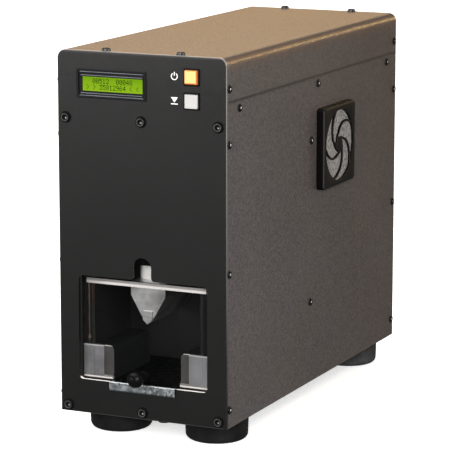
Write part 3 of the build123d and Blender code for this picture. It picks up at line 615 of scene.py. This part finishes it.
# lit display: yellow-green, a little uneven
m = M("display_backlight", (0.01, 0.02, 0.001), 0.5, 0, 0.05, Emission_Strength=1.0)
x, y, z = m.xyz()
zz = m.math("ADD", z, m.math("MULTIPLY", m.noise(34.0, 2.0, 0.5), 5.0))
lcdcol = m.ramp(m.step(zz, FOOT + 496.0, FOOT + 474.0), [(0.0, (0.150, 0.315, 0.004)), (0.35, (0.215, 0.400, 0.006)), (1.0, (0.262, 0.455, 0.010))])
m.link(lcdcol, m.b.inputs["Emission Color"])
m.rough(m.remap(m.noise(300.0, 2.0), 0.3, 0.7, 0.42, 0.58)).bump((m.noise(800.0, 2.0), 0.00001, 0.3))
mats["display_green"] = m.m
m = M("display_segment", (0.004, 0.01, 0.002), 0.5, 0, 0.05, Emission_Strength=0.2)
m.link(m.ramp(m.noise(120.0, 1.0), [(0.3, (0.004, 0.018, 0.001)), (0.7, (0.01, 0.03, 0.002))]), m.b.inputs["Emission Color"])
mats["display_segment"] = m.m


def lit_lens(name, centre, core, rim, edge, strength, z_half):
    """Translucent lens lit from behind: bright core, deeper colour at the rim."""
    mm = M(name, shade(rim, 0.5), 0.3, 0, 0.2, Emission_Strength=strength)
    c = P(*centre)
    sub = mm.node("ShaderNodeVectorMath", operation="SUBTRACT")
    mm.link(mm.co, sub.inputs[0])
    sub.inputs[1].default_value = c
    s = mm.node("ShaderNodeSeparateXYZ")
    mm.link(sub.outputs[0], s.inputs[0])
    ax, az = mm.math("ABSOLUTE", s.outputs[0]), mm.math("ABSOLUTE", s.outputs[2])
    d = mm.math("MULTIPLY", mm.math("MAXIMUM", ax, az), 1000.0 / z_half)
    fine = mm.math("MULTIPLY", mm.noise(300.0, 2.0), 0.06)
    v = mm.math("ADD", d, fine)
    mm.link(mm.ramp(v, [(0.0, core), (0.82, core), (0.93, rim), (1.0, edge)]), mm.b.inputs["Emission Color"])
    mm.rough(mm.remap(mm.noise(200.0, 2.0), 0.3, 0.7, 0.24, 0.38)).bump((mm.noise(900.0, 2.0), 0.00001, 0.4))
    return mm.m


BTN_X, BTN1_Z, BTN2_Z = 212.5 - HX, FOOT + 500.9, FOOT + 467.0
mats["amber_lens"] = lit_lens("power_lens", (BTN_X - 0.6, YF - 4, BTN1_Z + 0.6), (1.0, 0.86, 0.36), (0.62, 0.20, 0.045), (0.22, 0.025, 0.006), 0.86, 9.9)
mats["white_lens"] = lit_lens("start_lens", (BTN_X, YF - 4, BTN2_Z), (0.76, 0.76, 0.755), (0.70, 0.69, 0.67), (0.45, 0.43, 0.41), 0.22, 9.9)

# every frame node gets a finish
for sp in frame["record"]["subparts"]:
    o = NODES[sp["node"]]
    mat = mats.get(sp["material_slot"])
    override = {"cross_bar": "bar_steel", "chamber_liners": "liner_steel", "wedge_tip": "tip_steel", "press_side_plates": "chamber_black", "power_supply": "casing_steel", "upper_guard_plate": "guard_back_black", "knob_stud": "knob_black"}.get(sp["node"])
    if override:
        mat = mats[override]
    if mat is None:
        raise SystemExit("no finish for " + sp["material_slot"])
    if not o.data.materials:
        o.data.materials.append(mat)
    for s in o.material_slots:
        s.material = mat

# ---------------------------------------------------------------- screws
SMALL = dict(hr=6.1, hh=2.6, sr=2.3, sl=9.0, hexr=2.0)
TALL = dict(hr=6.4, hh=4.6, sr=2.3, sl=8.0, hexr=2.4)
bm = bmesh.new()
sk = bmesh.new()
sk2 = bmesh.new()
sk3 = bmesh.new()
def socket_glint_disc(p, d, r, h0, h1):
    """Painted glint: a bright disc inside a socket."""
    lathe(sk, p, d, [(0.1, h0), (r, h0), (r, h1 - 0.15), (r - 0.2, h1), (0.1, h1 + 0.05)], 24)
side_pts = [(8.5, 486.3), (641.5, 486.3), (43, 456), (326, 456), (609, 456)]
side_pts += [(y, z) for y in (8.5, 641.5) for z in (408, 223.7, 27)] + [(301, 372.6), (301.4, 125.0)]
for y, z in side_pts:
    for s in (-1, 1):
        button_screw(bm, (s * HX, y - HY, z + FOOT), (s, 0, 0), **SMALL)
        socket_glint_disc((s * HX, y - HY, z + FOOT + 0.25), (s, 0, 0), 1.6, 1.0, 2.35)
for s in (-1, 1):
    for y in (8.5, 641.5):
        button_screw(bm, (s * 58.6, y - HY, TOP), (0, 0, 1), **TALL)
        socket_glint_disc((s * 58.6, y - HY, TOP), (0, 0, 1), 2.0, 1.0, 4.2)
        # painted highlights: light arcs on the tall heads
        u, v, w_ = frame_of((0, 0, 1))
        for z0_, z1_, r_ in ((0.5, 1.1, 6.5), (2.3, 2.9, 6.3)):
            prof = [(r_ - 0.5, z0_), (r_, z0_), (r_, z1_), (r_ - 0.5, z1_)]
            for a0, a1 in ((200, 250), (262, 300), (318, 345)):
                ts = [math.radians(a0 + (a1 - a0) * i / 8) for i in range(9)]
                loft(sk3, [[P(s * 58.6 + r * math.cos(t), y - HY + r * math.sin(t), TOP + h) for r, h in prof] for t in ts])
    for z in (20, 180, 350, 500):
        button_screw(bm, (s * 122.4, YR, z + FOOT), (0, 1, 0), **SMALL)
        socket_glint_disc((s * 122.4, YR, z + FOOT), (0, 1, 0), 1.6, 1.0, 1.6)
new_obj("cover_screw_heads", bm, mats["black_screws"], "chassis", sharp=28, replaces=["cover_screws"])
bm = bmesh.new()
for s in (-1, 0, 1):
    for z in (433, 10):
        cap_screw(bm, (s * 120.2, YF, z + FOOT), (0, -1, 0), hr=7.0, hh=4.0, sr=3.8, sl=9.0, hexr=3.0)
        # painted glint: an off-centre disc in each front socket
        lathe(sk2, (s * 120.2 + 0.9, YF, z + FOOT - 0.9), (0, -1, 0), [(0.1, 0.8), (1.3, 0.8), (1.3, 1.8), (1.1, 2.0), (0.1, 2.05)], 24)
new_obj("front_screw_heads", bm, mats["black_screws"], "chassis", sharp=28, replaces=["front_screws"])
new_obj("screw_socket_glint_discs", sk, mats["socket_steel"], "chassis", sharp=30)
new_obj("front_screw_socket_glints", sk2, mats["worn_socket"], "chassis", sharp=30)
new_obj("top_screw_highlight_arcs", sk3, mats["worn_socket"], "chassis", sharp=30)
bm = bmesh.new()
for s in (-1, 0, 1):
    for z in (433, 10):
        o_ = (s * 120.2, YF - 3.7, z + FOOT)
        u, v, w_ = frame_of((0, -1, 0))
        prof = [(4.6, 0.0), (5.7, 0.0), (5.6, 0.25), (5.2, 0.38), (4.9, 0.38), (4.65, 0.25)]
        loft(bm, [[P(*o_) + (u * (r * math.cos(2 * math.pi * i / 48)) + v * (r * math.sin(2 * math.pi * i / 48)) + w_ * h) / 1000.0 for i in range(48)] for r, h in prof], close_ring=True)
new_obj("front_screw_ring_highlights", bm, mats["turned_ring"], "chassis", sharp=35)
bm = bmesh.new()
for s in (-1, 0, 1):
    for z in (433, 10):
        o_ = (s * 120.2, YF, z + FOOT)
        u, v, w_ = frame_of((0, -1, 0))
        prof = [(7.05, 0.0), (8.5, 0.0), (8.5, 0.45), (8.2, 0.75), (7.3, 0.75), (7.05, 0.5)]
        loft(bm, [[P(*o_) + (u * (r * math.cos(2 * math.pi * i / 48)) + v * (r * math.sin(2 * math.pi * i / 48)) + w_ * h) / 1000.0 for i in range(48)] for r, h in prof], close_ring=True)
new_obj("front_screw_washers", bm, mats["screw_ring"], "chassis", sharp=35)

# ---------------------------------------------------------------- feet
bm = bmesh.new()
for y in (-240.0, 267.0):
    for s in (-1, 1):
        prof = [(0.5, 38.0), (46.2, 38.0), (46.5, 37.6), (46.5, 36.0), (46.35, 35.2), (46.4, 30.0), (46.2, 20.0), (45.9, 10.0)]
        for k in range(1, 10):
            a = math.radians(10 * k)
            prof.append((36.9 + 9.0 * math.cos(a), 9.0 - 9.0 * math.sin(a)))
        prof += [(36.0, 0.0), (34.5, 0.05), (34.0, 0.5), (33.5, 0.05), (22.0, 0.0), (14.5, 0.0), (13.4, 0.5), (13.0, 1.2), (13.0, 15.8), (12.4, 16.0), (0.5, 16.0)]
        lathe(bm, (s * 78.0, y, 0), (0, 0, 1), prof, 72)
new_obj("rubber_foot_set", bm, mats["foot_rubber"], "chassis", sharp=40, replaces=["rubber_feet"])

# ---------------------------------------------------------------- knob
KY, KZ, KR = YF - 22.5, 102.8, 12.4
bm = bmesh.new()
prof = [(0.05, KR)]
for k in range(1, 38):
    a = math.radians(5 * k * 0.93)
    prof.append((KR * math.sin(a), KR * math.cos(a)))
last = prof[-1]
prof += [(8.2, last[1] - 0.05), (7.4, last[1] - 0.3), (4.2, last[1] - 0.3), (4.1, last[1] + 0.2), (4.1, -1.6), (0.05, -1.6)]
lathe(bm, (0, KY, KZ), (0, -1, 0), [p for p in prof if True], 64)
new_obj("door_ball_knob", bm, mats["knob_black"], "door", sharp=35, replaces=["door_knob"])

# ---------------------------------------------------------------- edge strip at the left of the press
m = M("edge_strip_steel", (0.16, 0.14, 0.12), 0.5, 0.2, 0.5)
m.rough(m.remap(m.noise(300.0, 3.0), 0.3, 0.7, 0.4, 0.6)).bump((m.noise(900.0, 2.0), 0.00003, 0.6))
m.color(m.ramp(m.noise(40.0, 3.0, 0.6), [(0.3, (0.030, 0.020, 0.012)), (0.7, (0.085, 0.060, 0.038))]))
mats["edge_strip"] = m.m
m = M("lead_wire_red", (0.08, 0.01, 0.005), 0.5, 0, 0.4)
m.rough(m.remap(m.noise(300.0, 3.0), 0.3, 0.7, 0.4, 0.6)).bump((m.noise(900.0, 2.0), 0.00003, 0.6))
m.color(m.ramp(m.noise(60.0, 3.0, 0.6), [(0.3, (0.022, 0.004, 0.002)), (0.7, (0.040, 0.009, 0.004))]))
mats["lead_wire"] = m.m
bm = bmesh.new()
slab(bm, -94.0, -92.3, -310.6, -309.4, 152.0, 228.5, 0.3, 2)
lathe(bm, (-92.9, -310.3, 146.0), (0, 0, 1), [(0.2, 0.0), (1.8, 0.0), (2.3, 1.0), (2.5, 3.0), (1.6, 5.5), (0.9, 6.5), (0.2, 6.6)], 20)
slab(bm, -94.0, -92.6, -310.6, -309.4, 138.4, 146.6, 0.3, 2)
new_obj("press_edge_strip", bm, mats["edge_strip"], "chassis", sharp=35)
bm = bmesh.new()
lathe(bm, (-87.9, -310.2, 196.0), (0, 0, 1), [(0.2, 0.0), (0.6, 0.1), (0.65, 0.5), (0.65, 32.0), (0.6, 32.4), (0.2, 32.5)], 16)
new_obj("press_lead_wire", bm, mats["lead_wire"], "chassis", sharp=35)

# ---------------------------------------------------------------- display
LX0, LX1, LZ0, LZ1 = 31.4 - HX, 141.6 - HX, FOOT + 462.6, FOOT + 504.2
WX0, WX1, WZ0, WZ1 = 39.7 - HX, 135.0 - HX, FOOT + 472.5, FOOT + 493.0
bm = bmesh.new()
rings = [
    rrect(LX0, LX1, LZ0, LZ1, 1.4, YF), rrect(LX0, LX1, LZ0, LZ1, 1.4, YF - 1.5), rrect(LX0 + 0.5, LX1 - 0.5, LZ0 + 0.5, LZ1 - 0.5, 1.2, YF - 2.0),
    rrect(LX0 + 2.2, LX1 - 2.2, LZ0 + 2.2, LZ1 - 2.2, 1.0, YF - 2.0), rrect(LX0 + 2.8, LX1 - 2.8, LZ0 + 2.8, LZ1 - 2.8, 0.8, YF - 1.5),
    rrect(LX0 + 3.0, LX1 - 3.0, LZ0 + 3.0, LZ1 - 3.0, 0.8, YF + 0.2), rrect(LX0 + 3.0, LX1 - 3.0, LZ0 + 3.0, LZ1 - 3.0, 0.8, YF + 0.6), rrect(LX0 + 0.4, LX1 - 0.4, LZ0 + 0.4, LZ1 - 0.4, 1.2, YF + 0.0)]
rings = rings[:6] + [rrect(LX0 + 1.0, LX1 - 1.0, LZ0 + 1.0, LZ1 - 1.0, 1.0, YF)]
loft(bm, rings, close_ring=True)
new_obj("display_outer_frame", bm, mats["bezel_black"], "chassis", sharp=25, replaces=["display_bezel"])
m = M("display_metal_frame", (0.004, 0.004, 0.005), 0.4, 0.0, 0.2)
m.rough(m.remap(m.noise(500.0, 2.0), 0.3, 0.7, 0.34, 0.5)).bump((m.noise(700.0, 2.0), 0.00002, 0.4))
m.color(m.ramp(m.noise(80.0, 2.0), [(0.3, (0.003, 0.003, 0.004)), (0.7, (0.007, 0.007, 0.009))]))
mats["lcd_metal"] = m.m
bm = bmesh.new()
a0, a1, c0, c1 = LX0 + 3.4, LX1 - 3.4, LZ0 + 5.3, LZ1 - 5.3
rings = [rrect(a0, a1, c0, c1, 0.6, YFI - 0.1), rrect(a0, a1, c0, c1, 0.6, YF + 0.9), rrect(a0 + 0.5, a1 - 0.5, c0 + 0.5, c1 - 0.5, 0.6, YF + 0.4),
         rrect(WX0 - 1.2, WX1 + 1.2, WZ0 - 1.2, WZ1 + 1.2, 0.6, YF + 0.4), rrect(WX0 - 0.2, WX1 + 0.2, WZ0 - 0.2, WZ1 + 0.2, 0.4, YF + 1.0), rrect(WX0, WX1, WZ0, WZ1, 0.3, YF + 1.6),
         rrect(WX0, WX1, WZ0, WZ1, 0.3, YFI - 0.1)]
loft(bm, rings, close_ring=True)
new_obj("display_inner_frame", bm, mats["lcd_metal"], "chassis", sharp=25, replaces=["display_module"])
# rolled lips of the metal frame above and below the glass
m = M("display_lip_metal", (0.14, 0.15, 0.17), 0.35, 0.3, 0.5)
m.rough(m.remap(m.noise(500.0, 2.0), 0.3, 0.7, 0.28, 0.45)).bump((m.noise(900.0, 2.0), 0.00001, 0.4))
m.color(m.ramp(m.noise(60.0, 2.0), [(0.3, (0.10, 0.11, 0.125)), (0.7, (0.17, 0.18, 0.20))]))
mats["lcd_lip"] = m.m
bm = bmesh.new()
for zl, hgt, inset in ((LZ1 - 4.1, 1.0, 5.0), (WZ1 + 2.2, 1.0, 6.4), (WZ0 - 3.0, 1.0, 6.4), (LZ0 + 3.6, 1.0, 5.0)):
    slab(bm, LX0 + inset, LX1 - inset, YF - 0.6, YF + 0.8, zl - hgt / 2, zl + hgt / 2, 0.25, 2)
new_obj("display_frame_lips", bm, mats["lcd_lip"], "chassis", sharp=40)
bm = bmesh.new()
slab(bm, WX0 + 0.05, WX1 - 0.05, YF + 1.9, YFI - 0.4, WZ0 + 0.05, WZ1 - 0.05, 0.15, 1)
new_obj("display_backlight_plate", bm, mats["display_green"], "chassis", smooth=False)
bm = bmesh.new()
slab(bm, LX0 - 1, LX1 + 3, YFI, YFI + 1.6, LZ0, LZ1 - 1, 0.2, 1)
for ix in range(16):
    slab(bm, LX0 + 10 + ix * 2.54, LX0 + 11.2 + ix * 2.54, YFI + 1.6, YFI + 3.0, LZ1 - 4.2, LZ1 - 3.0, 0.1, 1)
slab(bm, LX0 + 30, LX0 + 48, YFI + 1.6, YFI + 3.6, LZ0 + 12, LZ0 + 26, 0.4, 1)
slab(bm, LX0 + 60, LX0 + 78, YFI + 1.6, YFI + 3.6, LZ0 + 12, LZ0 + 26, 0.4, 1)
new_obj("display_circuit_board", bm, mats["board_green"], "chassis", smooth=False)
# dot-matrix characters: plain numbers, blocks and arrows
FONT = {"0": "01110 10001 10011 10101 11001 10001 01110", "1": "00100 01100 00100 00100 00100 00100 01110", "2": "01110 10001 00001 00010 00100 01000 11111",
        "3": "11111 00010 00100 00010 00001 10001 01110", "4": "00010 00110 01010 10010 11111 00010 00010", "5": "11111 10000 11110 00001 00001 10001 01110",
        "6": "00110 01000 10000 11110 10001 10001 01110", "7": "11111 00001 00010 00100 01000 01000 01000", "8": "01110 10001 10001 01110 10001 10001 01110",
        "9": "01110 10001 10001 01111 00001 00010 01100", ">": "01000 00100 00010 00001 00010 00100 01000", "<": "00010 00100 01000 10000 01000 00100 00010",
        "#": "11111 11111 11111 11111 11111 11111 11111", "=": "00000 11111 11111 11111 11111 11111 00000"}
bm = bmesh.new()
PX, PZ = 0.88, 1.02
CW, CH = 5.32, 8.75
tx0 = (WX0 + WX1) / 2 - 8 * CW
for row, text in enumerate(("  00512  00048  ", "> > 35812964 < <")):
    top = (WZ0 + WZ1) / 2 + CH - 0.75 - row * CH
    for col, ch in enumerate(text):
        if ch == " ":
            continue
        for r, bits in enumerate(FONT[ch].split()):
            for c, bit in enumerate(bits):
                if bit == "1":
                    x, z = tx0 + col * CW + 0.35 + c * PX, top - r * PZ
                    slab(bm, x, x + PX * 0.97, YF + 1.84, YF + 1.9, z - PZ * 0.97, z)
new_obj("display_dots", bm, mats["display_segment"], "chassis", smooth=False)

# ---------------------------------------------------------------- buttons
def cap_mesh(zc):
    b = bmesh.new()
    h = 9.8
    r = [(0.0, 1.0, YF + 13), (0.0, 1.0, YF - 3.1), (0.12, 1.0, YF - 3.5), (0.42, 1.0, YF - 3.82), (0.95, 1.0, YF - 3.98), (1.6, 1.0, YF - 4.0), (3.4, 1.4, YF - 3.9), (6.4, 1.2, YF - 3.72)]
    loft(b, [rrect(BTN_X - h + i, BTN_X + h - i, zc - h + i, zc + h - i, rr, y, 5) for i, rr, y in r])
    return b


new_obj("power_button_cap", cap_mesh(BTN1_Z), mats["amber_lens"], "power_button", sharp=50, replaces=["power_button"])
new_obj("start_button_cap", cap_mesh(BTN2_Z), mats["white_lens"], "start_button", sharp=50, replaces=["start_button"])
bm = bmesh.new()
for zc in (BTN1_Z, BTN2_Z):
    o_, i_ = 12.3, 10.1
    R = lambda h, rr, y: rrect(BTN_X - h, BTN_X + h, zc - h, zc + h, rr, y, 5)
    loft(bm, [R(11.0, 0.8, YF), R(o_, 1.6, YF), R(o_, 1.6, YF - 1.3), R(o_ - 0.25, 1.5, YF - 1.8), R(o_ - 0.8, 1.3, YF - 2.0), R(i_ + 0.5, 1.0, YF - 2.0), R(i_ + 0.1, 0.9, YF - 1.7), R(i_, 0.8, YF - 1.2),
              R(i_, 0.8, YF + 18), R(1.0, 0.5, YF + 18), R(1.0, 0.5, YF + 24), R(11.0, 0.8, YF + 24)], close_ring=True)
new_obj("button_frames", bm, mats["button_frame"], "chassis", sharp=35, replaces=["button_housings"])

# plain symbols beside the buttons: an open ring with a bar, and a downward arrow on a bar
m = M("print_white", (0.85, 0.85, 0.84), 0.5, 0, 0.3)
m.color(m.ramp(m.noise(240.0, 3.0, 0.6), [(0.3, (0.70, 0.70, 0.69)), (0.7, (0.92, 0.92, 0.91))]))
m.rough(m.remap(m.noise(300.0, 2.0), 0.3, 0.7, 0.42, 0.6)).bump((m.noise(900.0, 2.0), 0.00001, 0.5))
mats["print_white"] = m.m
bm = bmesh.new()
SX = BTN_X - 27.0
y0, y1 = YF - 0.12, YF
n = 40
ang = [math.radians(90 + 32 + (360 - 64) * i / n) for i in range(n + 1)]
rings = []
for t in ang:
    c, k = math.cos(t), math.sin(t)
    rings.append([P(SX + r * c, y, BTN1_Z + r * k) for r, y in ((4.0, y1), (5.3, y1), (5.3, y0), (4.0, y0))])
loft(bm, rings)
slab(bm, SX - 0.7, SX + 0.7, y0, y1, BTN1_Z + 0.8, BTN1_Z + 6.2)
loft(bm, [[P(SX - 5.4, y, BTN2_Z + 4.6), P(SX + 5.4, y, BTN2_Z + 4.6), P(SX, y, BTN2_Z - 3.0)] for y in (y0, y1)])
slab(bm, SX - 5.4, SX + 5.4, y0, y1, BTN2_Z - 5.6, BTN2_Z - 4.2)
new_obj("button_symbols", bm, mats["print_white"], "chassis", smooth=False)

# ---------------------------------------------------------------- fan guard
FY, FZ = 59.0, FOOT + 355.5
def ring_sq(x, h, r, n=96):
    """Rounded square in Y,Z, one point per angle so that it lofts to a circle."""
    pts = []
    for i in range(n):
        t = 2 * math.pi * (i + 0.5) / n
        c, s = math.cos(t), math.sin(t)
        k = h / max(abs(c), abs(s))
        y, z = k * c, k * s
        ex, ez = abs(y) - (h - r), abs(z) - (h - r)
        if ex > 0 and ez > 0:
            # slide the point onto the corner arc
            lo, hi = 0.0, k
            for _ in range(30):
                mid = (lo + hi) / 2
                yy, zz = abs(mid * c) - (h - r), abs(mid * s) - (h - r)
                inside = (yy <= 0 or zz <= 0 or yy * yy + zz * zz <= r * r)
                lo, hi = (mid, hi) if inside else (lo, mid)
            y, z = lo * c, lo * s
        pts.append(P(x, FY + y, FZ + z))
    return pts


def ring_c(x, r, n=96):
    return [P(x, FY + r * math.cos(2 * math.pi * (i + 0.5) / n), FZ + r * math.sin(2 * math.pi * (i + 0.5) / n)) for i in range(n)]


bm = bmesh.new()
loft(bm, [ring_sq(HX, 62.0, 5.0), ring_sq(HX + 10.4, 62.0, 5.0), ring_sq(HX + 11.6, 61.5, 4.8), ring_sq(HX + 12.6, 60.3, 4.2), ring_sq(HX + 13.0, 58.8, 3.6),
          ring_c(HX + 13.0, 55.0), ring_c(HX + 12.7, 54.3), ring_c(HX + 12.0, 54.0), ring_c(HX + 2.0, 54.0), ring_c(HX + 2.0, 56.5), ring_c(HX + 0.0, 56.5)], close_ring=True)
new_obj("fan_guard_frame", bm, mats["guard_plastic"], "chassis", sharp=30, replaces=["fan_guard"])
bm = bmesh.new()
def arm_angle(r, rim):
    """Angle of the swirl at radius r: nearly radial-linear outside, curling into the hub."""
    a = rim + (54.0 - r) * 1.78
    if r < 20:
        a += (20 - r) ** 2 * 0.42
    return math.radians(a)
for k in range(5):
    rim = 105 - 72 * k
    rings = []
    n_st = 26
    for i in range(n_st + 1):
        r = 7.5 + (54.9 - 7.5) * i / n_st
        a, a2 = arm_angle(r, rim), arm_angle(r + 0.2, rim)
        p = Vector((r * math.cos(a), r * math.sin(a)))
        q = Vector(((r + 0.2) * math.cos(a2), (r + 0.2) * math.sin(a2)))
        t = (q - p).normalized()
        nrm = Vector((-t.y, t.x))
        w = 1.35 + 0.35 * (i / n_st) ** 2
        sec = [(-w, 9.6), (-w, 11.9), (-w * 0.75, 12.35), (0, 12.55), (w * 0.75, 12.35), (w, 11.9), (w, 9.6)]
        rings.append([P(HX + h, FY + p.x + nrm.x * s_, FZ + p.y + nrm.y * s_) for s_, h in sec])
    loft(bm, rings)
new_obj("fan_guard_arms", bm, mats["guard_plastic"], "chassis", sharp=35)
bm = bmesh.new()
lathe(bm, (HX + 9.6, FY, FZ), (1, 0, 0), [(0.1, 0), (11.6, 0), (11.8, 0.2), (11.8, 2.3), (11.3, 2.8), (9.5, 3.0), (0.1, 3.2)], 64)
new_obj("fan_guard_hub", bm, mats["guard_plastic"], "chassis", sharp=30)

# ---------------------------------------------------------------- stage and light
def area(name, loc, target, size, energy, color, size_y=None):
    d = bpy.data.lights.new(name, "AREA")
    d.shape = "RECTANGLE"
    d.size, d.size_y = size, size_y or size
    d.energy, d.color = energy, color
    o = bpy.data.objects.new(name, d)
    bpy.context.scene.collection.objects.link(o)
    o.location = loc
    o.rotation_euler = (Vector(loc) - Vector(target)).to_track_quat("Z", "Y").to_euler()
    o.visible_camera = False
    return o


def sun(name, direction, energy, angle, color):
    d = bpy.data.lights.new(name, "SUN")
    d.energy, d.angle, d.color = energy, math.radians(angle), color
    o = bpy.data.objects.new(name, d)
    bpy.context.scene.collection.objects.link(o)
    o.rotation_euler = Vector(direction).to_track_quat("Z", "Y").to_euler()
    return o


T0 = P(0, 0, 300)
sun("overhead", (-0.28, 0.12, 1.0), 3.0, 70, (1.0, 0.995, 0.985))
sun("low_back", (-0.40, 0.86, 0.36), 0.30, 26, (1.0, 0.57, 0.20))
area("edge_gold", T0 + Vector((1.15, 2.7, 0.85)), T0 + Vector((0.1, 0.0, 0.2)), 0.22, 12.0, (1.0, 0.66, 0.28))
area("front_soft", T0 + Vector((-1.15, -2.1, 0.25)), T0 + Vector((0, -0.3, 0.05)), 1.5, 10.0, (1.0, 0.99, 0.98), 0.6)
area("side_fill", T0 + Vector((1.6, -1.75, 0.6)), T0 + Vector((0.1, -0.2, 0)), 1.2, 34.0, (1.0, 0.965, 0.95))
key = area("key_soft", P(0, 0, 300) + back * 3.0 + Vector((0, 0, 0.25)), T0, 0.5, 46.0, (1.0, 0.99, 0.98))
key.visible_glossy = False
ram_key = area("ram_key", T0 + Vector((math.sin(math.radians(10)) * 3.0, -math.cos(math.radians(10)) * 3.0, 0.38)), T0, 0.4, 32.0, (1.0, 1.0, 0.99))
ram_key.visible_glossy = False

w = bpy.data.worlds.new("studio")
bpy.context.scene.world = w
w.use_nodes = True
nt = w.node_tree
bg = nt.nodes["Background"]
bg.inputs["Color"].default_value = (1.0, 0.99, 0.98, 1)
bg.inputs["Strength"].default_value = 0.20
bg2 = nt.nodes.new("ShaderNodeBackground")
bg2.inputs["Color"].default_value = (1.0, 1.0, 1.0, 1)
bg2.inputs["Strength"].default_value = 1.0
lp = nt.nodes.new("ShaderNodeLightPath")
mx = nt.nodes.new("ShaderNodeMixShader")
nt.links.new(lp.outputs["Is Camera Ray"], mx.inputs[0])
nt.links.new(bg.outputs[0], mx.inputs[1])
nt.links.new(bg2.outputs[0], mx.inputs[2])
nt.links.new(mx.outputs[0], nt.nodes["World Output"].inputs["Surface"])

bm = bmesh.new()
bmesh.ops.create_grid(bm, x_segments=1, y_segments=1, size=60.0)
me = bpy.data.meshes.new("floor")
bm.to_mesh(me); bm.free()
floor = bpy.data.objects.new("floor", me)
bpy.context.scene.collection.objects.link(floor)
floor.location = (0, 0, -0.0002)
fm = M("floor_white", (0.93, 0.93, 0.93), 0.7, 0, 0.2, Emission_Strength=0.6)
fm.b.inputs["Emission Color"].default_value = (1.0, 1.0, 1.0, 1)
fm.color(fm.ramp(fm.noise(0.8, 2.0), [(0.3, (0.925, 0.925, 0.925)), (0.7, (0.94, 0.94, 0.94))]))
me.materials.append(fm.m)
floor.visible_diffuse = False
floor.visible_glossy = False
